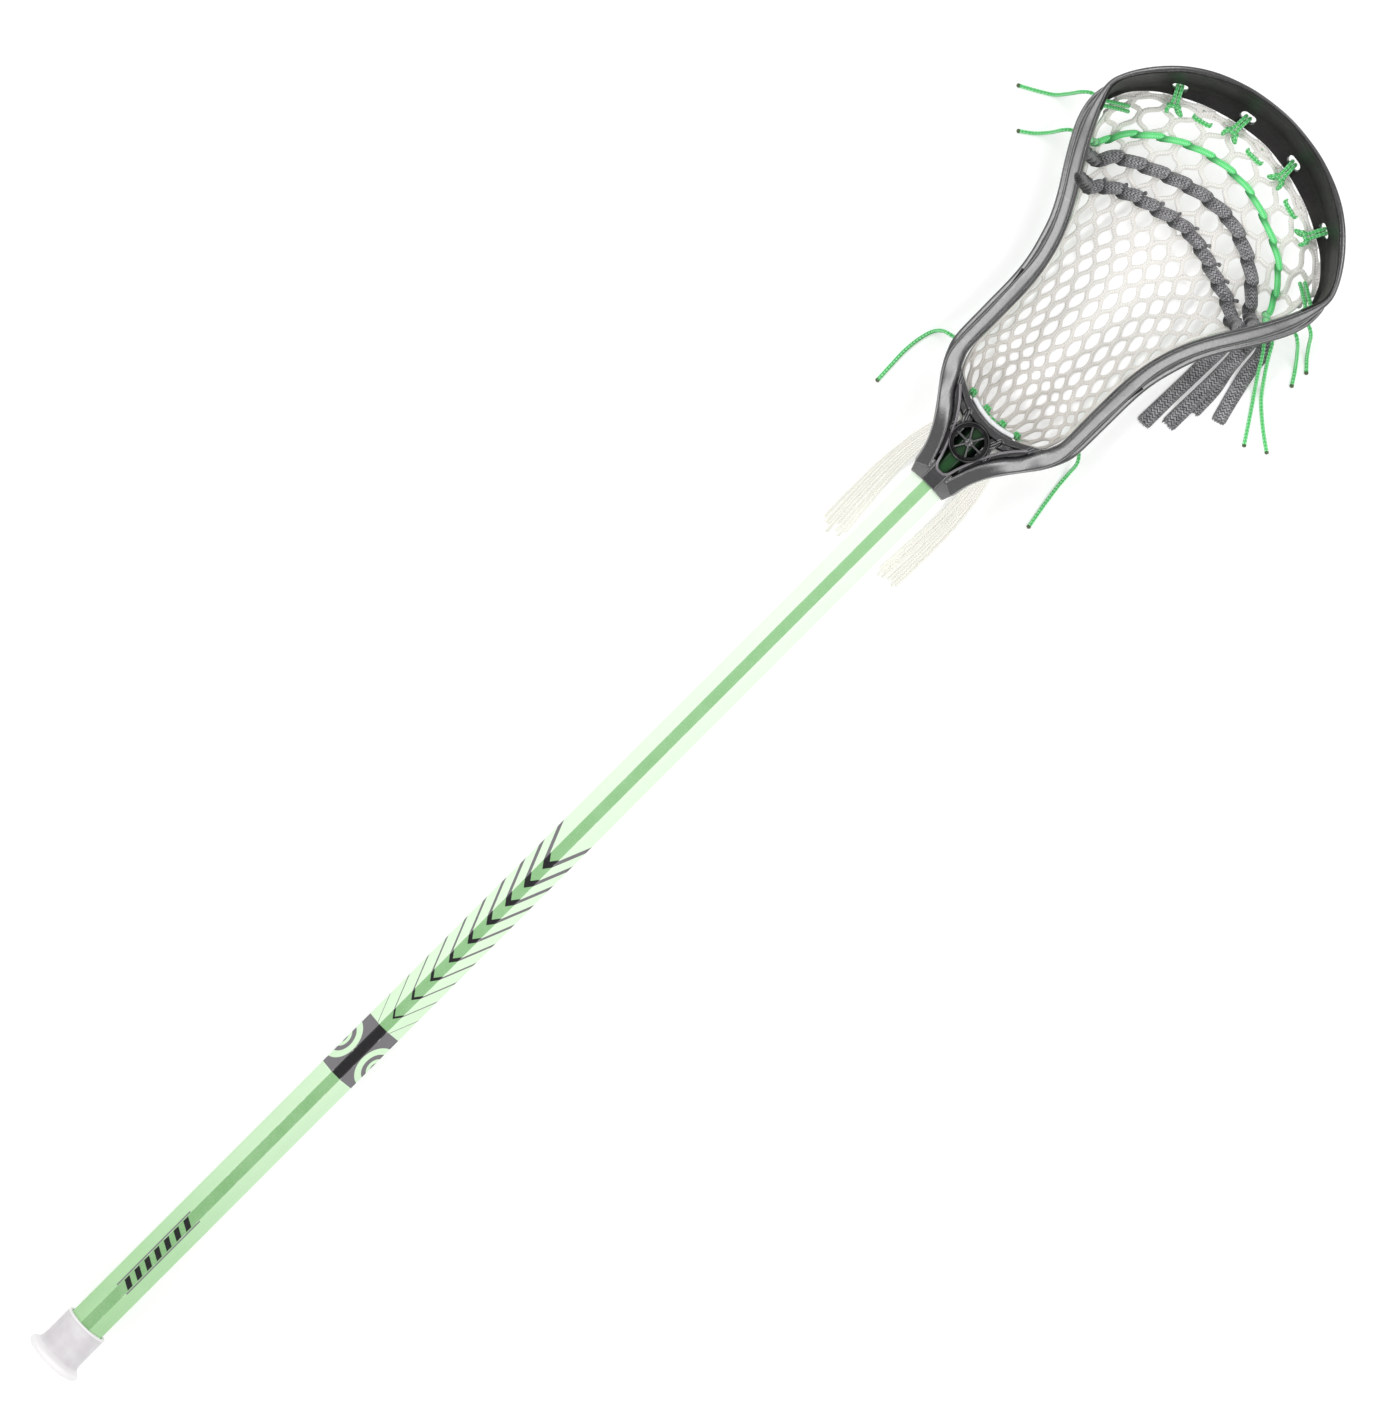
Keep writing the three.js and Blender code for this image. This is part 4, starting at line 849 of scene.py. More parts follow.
def rail_section(i, r):
    ox, oy, ix, iy, bx, by, lx, ly, zt, zb, d = r
    w1, w2 = math.hypot(ix - ox, iy - oy), math.hypot(lx - bx, ly - by)

    def top(f, z):
        return [ox + (ix - ox) * f / w1, oy + (iy - oy) * f / w1, z]
    if i >= SCOOP:
        dl = math.hypot(ix - lx, iy - ly)
        m = dl / 12

        def low(q, z):
            return [lx + (ix - lx) * q / dl, ly + (iy - ly) * q / dl, zb + z]
        return [top(w1, zt - 1.2), top(w1 - 0.8, zt), top(0.8, zt), top(0, zt - 1.2), top(0, zt - 5), top(0.5, zt - 7),
                low(9 * m + 2.8, 10), low(6 * m + 2.8, 4.4), low(3 * m + 2.4, 1.6), low(2.2, 0.2), low(0.9, 0), low(0, 0.9), low(0, 3.2),
                low(6 * m, 6.2), low(9 * m, 11.5), top(w1 - 0.1, zt - 7)]

    def low(f, z):
        return [bx + (lx - bx) * f / w2, by + (ly - by) * f / w2, z]
    ht = [4, 4, 4.5, 5, 5.5, 6][i] if i < 6 else 6.5
    hb = [4, 4, 4.5, 5, 6, 7][i] if i < 6 else 8
    t1, t2 = (0.8 * w1 if i <= 4 else min(3.2, 0.8 * w1)), (0.8 * w2 if i <= 4 else 3.2)
    a1, a2 = (w1 - t1) / 2, (w2 - t2) / 2
    slope = 0.0 if i < 5 else {12: 1.8, 13: 2.1, 14: 2.3, 15: 2.2, 16: 1.9, 17: 1.2, 18: 0.6}.get(i, 1.5)
    return [top(w1, zt - 2.6), top(w1 - 1.75, zt - d * 1.1 / w1), top(0.3, zt - d * (1 - 0.6 / w1) - slope), top(-0.1, zt - d - 0.9 - slope), top(0, zt - d - ht),
            top(a1, zt - d - ht - 1.5), low(a2 + 0.9, zb + d + hb + 0.55), low(-0.35, zb + d + hb - 0.28), low(-0.35, zb + d + 1.5), low(1.3, zb + d * (1 - 1.3 / w2)),
            low(w2 - 1.3, zb), low(w2, zb + 1.4), low(w2, zb + hb - 1.5), low(w2 - a2, zb + hb + 0.5), top(w1 - a1, zt - ht - 2), top(w1, zt - ht)]


def chaikin(P, times):
    """Rounds the corners of closed rings (n, m, 3)."""
    for _ in range(times):
        Q = np.roll(P, -1, axis=1)
        P = np.stack([0.75 * P + 0.25 * Q, 0.25 * P + 0.75 * Q], 2).reshape(P.shape[0], -1, 3)
    return P


def crisp(P, c):
    """Cuts each corner of closed rings (n, m, 3) back by c, so that the flats between them stay flat."""
    Q = np.roll(P, -1, axis=1)
    L = np.maximum(np.linalg.norm(Q - P, axis=2), 1e-6)
    f = np.minimum(0.3, c / L)[..., None]
    return np.stack([P + (Q - P) * f, Q - (Q - P) * f], 2).reshape(P.shape[0], -1, 3)


def loft_rings(R):
    n, m = R.shape[:2]
    faces = []
    for i in range(n - 1):
        for j in range(m):
            k = (j + 1) % m
            faces.append((i * m + j, i * m + k, (i + 1) * m + k, (i + 1) * m + j))
    faces.append(tuple(range(m))[::-1])
    faces.append(tuple((n - 1) * m + j for j in range(m)))
    return R.reshape(-1, 3), faces


def rail_ring():
    S = [rail_section(i, r) for i, r in enumerate(RAIL)]
    S += [rail_section(i, mirrored(RAIL[i])) for i in range(TIPN - 1, -1, -1)]
    S = np.array(S)
    per = 7
    out = []
    for i in range(len(S) - 1):
        p0, p1, p2, p3 = S[max(i - 1, 0)], S[i], S[i + 1], S[min(i + 2, len(S) - 1)]
        for q in range(per):
            t = q / per
            out.append(0.5 * (2 * p1 + (p2 - p0) * t + (2 * p0 - 5 * p1 + 4 * p2 - p3) * t**2 + (3 * p1 - p0 - 3 * p2 + p3) * t**3))
    out.append(S[-1])
    return loft_rings(chaikin(crisp(np.array(out), 0.55), 1))


def prism(points, z0, z1):
    n = len(points)
    V = [(x, y, z0) for x, y in points] + [(x, y, z1) for x, y in points]
    F = [tuple(range(n))[::-1], tuple(range(n, 2 * n))]
    F += [(i, (i + 1) % n, n + (i + 1) % n, n + i) for i in range(n)]
    return V, F


def prism_x(points, x0, x1):
    n = len(points)
    V = [(x0, y, z) for y, z in points] + [(x1, y, z) for y, z in points]
    F = [tuple(range(n))[::-1], tuple(range(n, 2 * n))]
    F += [(i, (i + 1) % n, n + (i + 1) % n, n + i) for i in range(n)]
    return V, F


def cyl_z(r, x, y, z0, z1, n=48):
    return prism([(x + r * math.cos(2 * math.pi * i / n), y + r * math.sin(2 * math.pi * i / n)) for i in range(n)], z0, z1)


def round_loop(P, times=2):
    P = np.array(P, float)[None]
    return chaikin(np.concatenate([P, np.zeros(P.shape[:2] + (1,))], -1) if P.shape[2] == 2 else P, times)[0]


def window_cutter(t0, t1, lean, side):
    rings = []
    for out in (-9, 12):
        loop = []
        for t, upper in ((t0, 0), (t1, 0), (t1 + lean, 1), (t0 + lean, 1)):
            ox, oy, ix, iy, bx, by, lx, ly, zt, zb, d = station(t, side)
            k = 0.2 if upper else 0.8
            x = (ox + ix) / 2 + ((bx + lx) / 2 - (ox + ix) / 2) * k
            y = (oy + iy) / 2 + ((by + ly) / 2 - (oy + iy) / 2) * k
            w = math.hypot(ox - ix, oy - iy)
            loop.append([x + (ox - ix) / w * out, y + (oy - iy) / w * out, zt - 10 if upper else zb + 10.4])
        loop = np.array(loop)
        dense = []
        for i in range(4):
            a, b = loop[i], loop[(i + 1) % 4]
            L = np.linalg.norm(b - a)
            c = min(2.6, L * 0.3) / L
            dense += [a + (b - a) * c, a + (b - a) * (1 - c)]
        rings.append(chaikin(np.array(dense)[None], 2)[0])
    return loft_rings(np.array(rings))


def slot_frame(t, side):
    _, _, ix, iy, _, _, lx, ly, _, zb, _ = station(t, side)
    a, b = station(t - 0.2, side), station(t + 0.2, side)
    out = np.array([ix - lx, iy - ly, 0.0])
    dl = np.linalg.norm(out)
    out /= dl
    m = dl / 12
    along = np.array([b[6] - a[6], b[7] - a[7], 0.0])
    along /= np.linalg.norm(along)
    slope = out * 6 * m + np.array([0, 0, 3.0])
    slope /= np.linalg.norm(slope)
    normal = np.cross(along, slope)
    normal /= np.linalg.norm(normal)
    c = np.array([lx, ly, zb + 5.2]) + out * 6.8
    if normal[2] < 0:
        normal = -normal
    return c, along, slope, normal, out


def slot_cutter(t, side, w=5.2, l=9.6):
    c, along, slope, normal, _ = slot_frame(t, side)
    loop = []
    for s in (1, -1):
        for q in np.linspace(-math.pi / 2, math.pi / 2, 11):
            loop.append((s * (l / 2 - w / 2) + s * w / 2 * math.cos(q), s * w / 2 * math.sin(q)))
    rings = [[c + along * p + slope * q + normal * h for p, q in loop] for h in (-10, 10)]
    return loft_rings(np.array(rings))


def head_frame():
    solids, cuts = [rail_ring()], []

    def oct8(hw, hz, half):
        return [(half, hz), (-half, hz), (-hw, 3.9), (-hw, -3.9), (-half, -hz), (half, -hz), (hw, -3.9), (hw, 3.9)]
    collar = [(720.5, oct8(12.7, 13.3, 4.9)), (727.2, oct8(15.0, 15.0, 5.0)), (734.0, oct8(15.4, 15.0, 5.2))]
    solids.append(loft_rings(np.array([[(x, y, z) for y, z in o] for x, o in collar])))
    arc_c = catmull(THROAT_ARC, 20)
    half = [(729, 12), (737.5, 12.6), (748, 17), (758, 22.7), (767, 30), (777, 36.5)] + [tuple(p) for p in arc_c]
    outline = half + [(x, -y) for x, y in half[:-1][::-1]]
    solids.append(prism(outline, -13.5, 8))
    arc = [tuple(p) for p in arc_c[4:]]
    inner = [(x - 5, y * 0.93) for x, y in arc]
    band = arc + [(x, -y) for x, y in arc[:-1][::-1]] + [(x, -y) for x, y in inner] + inner[:-1][::-1]
    solids.append(prism(band, 6, 10.6))
    for s in (1, -1):  # plates beside the badge
        solids.append(prism([(764.2, s * 13.6), (768.6, s * 14.6), (769.0, s * 20.6), (765.4, s * 17.6)], 7, 9.4))
        solids.append(prism([(760.6, s * 9.0), (769.0, s * 12.4), (768.6, s * 13.5), (760.2, s * 10.1)], 7, 11.6))
        solids.append(prism_x([(s * 11.2, 6.4), (s * 14.2, 6.4), (s * 14.2, 11.0), (s * 11.2, 11.0)], 752.2, 757.2))
    cuts.append(prism_x([tuple(p) for p in octagon(SHAFT_FLATS + 0.6, SHAFT_HALF + 0.12, 0.3, 2)], 700, SHAFT_END + 0.7))
    window = [(730.6, 2.6), (733, 5.2), (745, 9.6), (752, 12.6), (752, -12.6), (745, -9.6), (733, -5.2), (730.6, -2.6)]
    cuts.append(prism(window, 8, 30))
    cuts.append(cyl_z(RING_R + 0.35, RING_X, 0, 7.9, 30, 96))
    eye = [(757.6, 13.2), (762.9, 12.9), (765.2, 18.2), (763.4, 17.8)]
    for s in (1, -1):
        cuts.append(prism([(x, s * y) for x, y in eye], -30, 30))
    cuts.append(cyl_z(2.3, 742, 0, -30, 0, 32))
    cuts.append(cyl_z(4.6, 742, 0, -30, -13.0, 40))
    for s in (1, -1):
        for t0, t1, lean in ((7.15, 7.95, 0.12), (8.2, 9.05, 0.12), (9.75, 11.1, 0.3), (11.75, 13.25, 0.3), (13.9, 15.1, 0.3), (15.75, 16.65, 0.2)):
            cuts.append(window_cutter(t0, t1, lean, s))
        for t in (22.05, 25.1):
            cuts.append(slot_cutter(t, s))
    objs = [object_from("head_tmp", *solids[0])]
    body = objs[0]
    adds, subs = bpy.data.collections.new("adds"), bpy.data.collections.new("subs")
    for k, (V, F) in enumerate(solids[1:]):
        o = object_from(f"add_{k}", V, F)
        scene.collection.objects.unlink(o)
        adds.objects.link(o)
    for k, (V, F) in enumerate(cuts):
        o = object_from(f"cut_{k}", V, F)
        scene.collection.objects.unlink(o)
        subs.objects.link(o)
    scene.collection.children.link(adds)
    scene.collection.children.link(subs)
    for col, op in ((adds, "UNION"), (subs, "DIFFERENCE")):
        m = body.modifiers.new(op, "BOOLEAN")
        m.operation, m.operand_type, m.collection, m.solver = op, "COLLECTION", col, "EXACT"
        m.use_self = True
    r = body.modifiers.new("remesh", "REMESH")
    r.mode, r.voxel_size, r.adaptivity = "VOXEL", 0.00045, 0.0
    s = body.modifiers.new("smooth", "SMOOTH")
    s.factor, s.iterations = 0.5, 2
    d = body.modifiers.new("thin", "DECIMATE")
    d.ratio = 0.5
    apply_modifiers(body)
    for col in (adds, subs):
        for o in list(col.objects):
            me = o.data
            bpy.data.objects.remove(o)
            bpy.data.meshes.remove(me)
        bpy.data.collections.remove(col)
    body.name = "head_shell"
    body.data.name = "head_shell"
    body.data.materials.clear()
    body.data.materials.append(M_HEAD)
    # the scoop's inner wall keeps the mould's matt grain
    body.data.materials.append(M_WALL)
    nf = len(body.data.polygons)
    mid, nrm = np.zeros(nf * 3), np.zeros(nf * 3)
    body.data.polygons.foreach_get("center", mid)
    body.data.polygons.foreach_get("normal", nrm)
    mid, nrm = mid.reshape(-1, 3), nrm.reshape(-1, 3)
    to = mid - np.array(W((925.0, 0.0, 0.0)))
    away = (nrm[:, 0] * to[:, 0] + nrm[:, 1] * to[:, 1]) / np.hypot(to[:, 0], to[:, 1])
    wall = (away < -0.45) & (mid[:, 0] > W((944.0, 0.0, 0.0))[0])
    body.data.polygons.foreach_set("material_index", wall.astype(np.int32))
    body.data.polygons.foreach_set("use_smooth", [True] * len(body.data.polygons))
    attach(body, "stick")
    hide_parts("head_frame")
    return body


RING_X, RING_R, RING_IN = 754.7, 11.9, 8.9
head_frame()


def rail_step(side):
    """Short wedge on the lower rail's outer edge that grows forward and stops at once."""
    T = np.linspace(6, SCOOP - 1, 400)
    X = np.array([station(t)[4] for t in T])
    t0, t1 = np.interp(831.0, X, T), np.interp(852.5, X, T)
    V, F, n = [], [], 24
    for k, t in enumerate(np.linspace(t0, t1, n)):
        u = 0.06 + 0.94 * (k / (n - 1)) ** 0.8
        i = int(math.floor(t))
        S = [np.array(rail_section(j, RAIL[j])) for j in (i - 1, i, i + 1, i + 2)]
        q = t - i
        R = 0.5 * (2 * S[1] + (S[2] - S[0]) * q + (2 * S[0] - 5 * S[1] + 4 * S[2] - S[3]) * q**2 + (3 * S[1] - S[0] - 3 * S[2] + S[3]) * q**3)
        a, o = R[6], R[7]
        e = (o - a) / np.linalg.norm(o - a)
        up = np.array([0, 0, 1.0])
        V += [a - e * 0.7 - up * 0.8, a - e * 0.4 + up * (1.9 * u), a + e * (0.35 * u) + up * (1.75 * u), a + (o - a) * (0.62 * u) + up * 0.12, a + (o - a) * (0.62 * u) - up * 0.8]
    V = [(v[0], v[1] * side, v[2]) for v in V]
    for k in range(n - 1):
        for j in range(5):
            m = (j + 1) % 5
            F.append((k * 5 + j, k * 5 + m, (k + 1) * 5 + m, (k + 1) * 5 + j))
    F += [tuple(range(5))[::-1], tuple((n - 1) * 5 + j for j in range(5))]
    b = Build()
    b.add(V, F if side > 0 else [f[::-1] for f in F])
    o = b.object("rail_step_" + ("left" if side > 0 else "right"), M_WALL, sharp=30)
    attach(o, "stick")


def badge():
    """Plain ribbed ring with six spokes, and a thin bead along the edges of the recess."""
    b = Build()
    prof = [(11.9, 9.4), (11.95, 13.4), (11.7, 14.2), (11.2, 14.4), (10.9, 14.0), (10.75, 13.4), (10.55, 14.0), (10.3, 14.3), (10.0, 14.0), (9.8, 13.3), (9.6, 13.9), (9.35, 14.1), (9.0, 13.8), (8.85, 13.0), (8.85, 9.4)]
    m = 120
    a = np.linspace(0, 2 * np.pi, m, endpoint=False)
    V = [(RING_X + r * math.cos(t), r * math.sin(t), z) for r, z in prof for t in a]
    n = len(prof)
    F = [(i * m + j, i * m + (j + 1) % m, ((i + 1) % n) * m + (j + 1) % m, ((i + 1) % n) * m + j) for i in range(n) for j in range(m)]
    b.add(V, F)
    for ang in np.arange(6) * math.pi / 3 + math.pi / 6:
        d, e = np.array([math.cos(ang), math.sin(ang), 0]), np.array([-math.sin(ang), math.cos(ang), 0])
        P = np.array([[RING_X, 0, 12.7] + d * q for q in np.linspace(0.0, 9.4, 12)])
        ring = ellipse(12, 14, 1.3, 1.6, power=0.7)
        b.sweep(P, ring, up=(0, 0, 1), dome=0.1)
    b.add(*_dome(RING_X, 0, 12.0, 3.1, 1.6))
    o = b.object("throat_badge", M_BADGE_SHADE, sharp=60)
    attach(o, "stick")
    bead = Build()
    for s in (1, -1):
        pts = [(730.5, 0.0, 14.3), (730.8, 2.2 * s, 14.3), (733.0, 4.4 * s, 14.2), (738.4, 6.1 * s, 13.4), (744.1, 8.1 * s, 12.0), (750.2, 10.5 * s, 10.9), (756.4, 13.3 * s, 10.3), (763.0, 17.2 * s, 9.9), (769.4, 22.0 * s, 9.7), (775.3, 27.3 * s, 9.3)]
        P = catmull(pts, 110)
        bead.sweep(P, ellipse(111, 16, 1.7, 2.6, power=0.5), up=(0, 0, 1), dome=0.1)
    # painted highlight: the ridge is drawn in the lighter copy of the head plastic
    o = bead.object("throat_bead", M_RIDGE_HIGHLIGHT, sharp=40)
    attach(o, "stick")


def _dome(x, y, z, r, h, n=28, k=6):
    V, F = [(x, y, z + h)], []
    for i in range(1, k + 1):
        t = math.pi / 2 * i / k
        V += [(x + r * math.sin(t) * math.cos(2 * math.pi * j / n), y + r * math.sin(t) * math.sin(2 * math.pi * j / n), z + h * math.cos(t)) for j in range(n)]
    for j in range(n):
        F.append((0, 1 + j, 1 + (j + 1) % n))
    for i in range(k - 1):
        for j in range(n):
            F.append((1 + i * n + j, 1 + (i + 1) * n + j, 1 + (i + 1) * n + (j + 1) % n, 1 + i * n + (j + 1) % n))
    F.append(tuple(1 + (k - 1) * n + j for j in range(n))[::-1])
    return V, F


rail_step(1)
rail_step(-1)
badge()


def screw():
    b = Build()
    prof = [(0.0, -15.3), (2.6, -15.9), (3.3, -15.6), (3.75, -15.0), (3.9, -14.3), (3.88, -13.6), (3.7, -13.4), (2.0, -13.35)]
    z = -13.3
    while z < -5:
        prof += [(2.0, z), (1.72, z + 0.35)]
        z += 0.7
    prof += [(1.6, -4.8), (0.6, -3.4)]
    m = 40
    a = np.linspace(0, 2 * np.pi, m, endpoint=False)
    V = [(742 + r * math.cos(t), r * math.sin(t), zz) for r, zz in prof[1:] for t in a]
    n = len(prof) - 1
    F = [(i * m + j, i * m + (j + 1) % m, (i + 1) * m + (j + 1) % m, (i + 1) * m + j) for i in range(n - 1) for j in range(m)]
    V += [(742, 0, -15.3), (742, 0, -3.2)]
    F += [(n * m, (j + 1) % m, j) for j in range(m)] + [(n * m + 1, (n - 1) * m + j, (n - 1) * m + (j + 1) % m) for j in range(m)]
    o = object_from("screw", V, F)
    cross = []
    for ang in (0, math.pi / 2):
        c, s = math.cos(ang), math.sin(ang)
        pts = [(742 + c * p - s * q, s * p + c * q) for p, q in ((-2.1, -0.45), (2.1, -0.45), (2.1, 0.45), (-2.1, 0.45))]
        k = object_from("cross", *prism(pts, -17, -14.6))
        mod = o.modifiers.new("cross", "BOOLEAN")
        mod.operation, mod.object, mod.solver = "DIFFERENCE", k, "EXACT"
        cross.append(k)
    apply_modifiers(o)
    for k in cross:
        me = k.data
        bpy.data.objects.remove(k)
        bpy.data.meshes.remove(me)
    o.data.materials.clear()
    o.data.materials.append(M_STEEL)
    o.data.polygons.foreach_set("use_smooth", [True] * len(o.data.polygons))
    o.data.set_sharp_from_angle(angle=math.radians(35))
    o.name = "pan_head_screw"
    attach(o, "stick")
    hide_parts("head_screw")


screw()


def ball_stop():
    """Soft foam strip, crowned, pulled in at its long edges."""
    inn, out = [(774.15, 16.6), (772.95, 12.5), (771.85, 8.6), (771.3, 4.2), (770.85, 0)], [(777.2, 15.6), (776.0, 11.6), (775.0, 7.6), (774.4, 3.8), (774.2, 0)]
    ip = catmull(inn + [(x, -y) for x, y in inn[:-1][::-1]], 60)
    op = catmull(out + [(x, -y) for x, y in out[:-1][::-1]], 60)
    rings = []
    for k in range(61):
        a, c = ip[k], op[k]
        e = min(k, 60 - k) / 60
        grow = 1 - 0.55 * math.exp(-(e / 0.012))
        ring = []
        for q in np.linspace(0, 2 * math.pi, 36, endpoint=False):
            cc, ss = math.cos(q), math.sin(q)
            cc, ss = math.copysign(abs(cc) ** 0.45, cc), math.copysign(abs(ss) ** 0.35, ss)
            f = 0.5 + 0.5 * cc * (grow if cc > 0 else 1)
            crown = 0.35 * (1 - ss * ss) if cc > 0 else 0
            p = a + (c - a) * f
            d = (c - a) / np.linalg.norm(c - a)
            ring.append((p[0] + d[0] * crown, p[1] + d[1] * crown, -1.65 + ss * 8.85 * (0.97 + 0.03 * grow)))
        rings.append(ring)
    V, F = loft_rings(np.array(rings))
    b = Build()
    b.add(V, F)
    o = b.object("foam_stop", M_FOAM, sharp=70)
    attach(o, "stick")
    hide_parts("ball_stop")


ball_stop()


# ------------------------------------------------------------------ pocket
def inward(r, d):
    ox, oy, ix, iy, _, _, lx, ly = r[:8]
    w = math.hypot(ix - ox, iy - oy)
    return [lx + (ix - ox) / w * d, ly + (iy - oy) / w * d]


SIDE_EDGE = [[777.6, 21.5, -15.9], [783.0, 31.0, -19.2]] + [[*inward(RAIL[i], 4.6), RAIL[i][9] + 5] for i in range(7, 18)]
TOP_EDGE = [SIDE_EDGE[-1]]
for _i in range(18, TIPN + 1):
    _ix, _iy, _lx, _ly, _zb = RAIL[_i][2], RAIL[_i][3], RAIL[_i][6], RAIL[_i][7], RAIL[_i][9]
    _dl = math.hypot(_ix - _lx, _iy - _ly)
    _q = 0.9
    TOP_EDGE.append([_lx - (_ix - _lx) / _dl * _q, _ly - (_iy - _ly) / _dl * _q, _zb - 1.5])
TOP_EDGE += [[p[0], -p[1], p[2]] for p in TOP_EDGE[:-1][::-1]]
THROAT_EDGE = [[777.6, 21.5, -15.9], [776.0, 10.5, -15.7], [775.4, 0, -15.7], [776.0, -10.5, -15.7], [777.6, -21.5, -15.9]]
SIDE_C, TOP_C, THROAT_C = catmull(SIDE_EDGE, 400), catmull(TOP_EDGE, 400), catmull(THROAT_EDGE, 400)


def at(C, s):
    s = np.clip(np.asarray(s, float), 0, 1) * 400
    return np.stack([np.interp(s, np.arange(401), C[:, k]) for k in range(3)], -1)


def pocket(u, v):
    """The mesh's middle surface: u from the throat to the scoop, v from -1, right, to 1, left."""
    u, v = np.broadcast_arrays(np.clip(np.asarray(u, float), 0, 1), np.clip(np.asarray(v, float), -1, 1))
    lft = at(SIDE_C, u)
    rgt = lft * np.array([1, -1, 1])
    s = ((1 - v) / 2)
    a, b = at(THROAT_C, s), at(TOP_C, s)
    c00, c01, c10, c11 = THROAT_C[0], THROAT_C[-1], TOP_C[0], TOP_C[-1]
    s3, u3 = s[..., None], u[..., None]
    p = lft + (rgt - lft) * s3 + a + (b - a) * u3 - ((c00 + (c01 - c00) * s3) + ((c10 + (c11 - c10) * s3) - (c00 + (c01 - c00) * s3)) * u3)
    along = np.sin(np.pi * u**0.72) ** 1.15
    across = 1 - np.abs(v) ** 2.4
    low = floor_z(p[..., 0]) + MESH_T / 2
    d = p[..., 2] - 34 * along * across - low
    p = p.copy()
    p[..., 2] = low + np.where(d > 20, d, np.log1p(np.exp(np.minimum(d, 20))))
    return p


GU, GV = 160, 121
_gu, _gv = np.meshgrid(np.linspace(0, 1, GU), np.linspace(-1, 1, GV), indexing="ij")
GRID = pocket(_gu, _gv)
_du, _dv = np.gradient(GRID, axis=0), np.gradient(GRID, axis=1)
NORM = np.cross(_du, _dv)
NORM /= np.linalg.norm(NORM, axis=-1, keepdims=True)
NORM[NORM[..., 2] < 0] *= -1


def on_grid(A, u, v):
    u, v = np.clip(u, 0, 1) * (GU - 1), (np.clip(v, -1, 1) + 1) / 2 * (GV - 1)
    i, j = np.minimum(u.astype(int), GU - 2), np.minimum(v.astype(int), GV - 2)
    f, g = (u - i)[..., None], (v - j)[..., None]
    return A[i, j] * (1 - f) * (1 - g) + A[i + 1, j] * f * (1 - g) + A[i, j + 1] * (1 - f) * g + A[i + 1, j + 1] * f * g


def photo_rows():
    """u of each row of mesh holes on the pocket's middle line, from the rows' places along the stick."""
    rows = [1330, 1345, 1361, 1377.5, 1389, 1400, 1416, 1434, 1453.7, 1473.6, 1493, 1512, 1528.6, 1545.7, 1562, 1580, 1600, 1621, 1640, 1658.6, 1681, 1700]
    u = np.linspace(0, 1, 800)
    P = pocket(u, 0 * u)
    s = (536.3 + (P[:, 0] - 536.3) * 2700 / (2700 - P[:, 2])) / 0.581 - 7
    return np.interp(rows, s, u)


ROW_U = photo_rows()
ROW_U[0] = 0.0
NROW = len(ROW_U)


def strand_uv(base, u):
    """v of a strand whose middle line is base, at u: it swings to its left neighbour at even rows, to its right at odd
    ones. base is not used.
    """
    r = np.interp(u, ROW_U, np.arange(NROW))
    r = np.where(u > ROW_U[-1], NROW - 1 + (u - ROW_U[-1]) / max(1e-6, ROW_U[-1] - ROW_U[-2]), r)
    flat = np.interp(u, [0, 0.25, 0.6, 0.8, 1.0], [1.6, 1.0, 1.1, 1.7, 2.0])  # how long neighbours run side by side
    swing = np.tanh(flat * np.cos(np.pi * r)) / np.tanh(flat)
    return swing


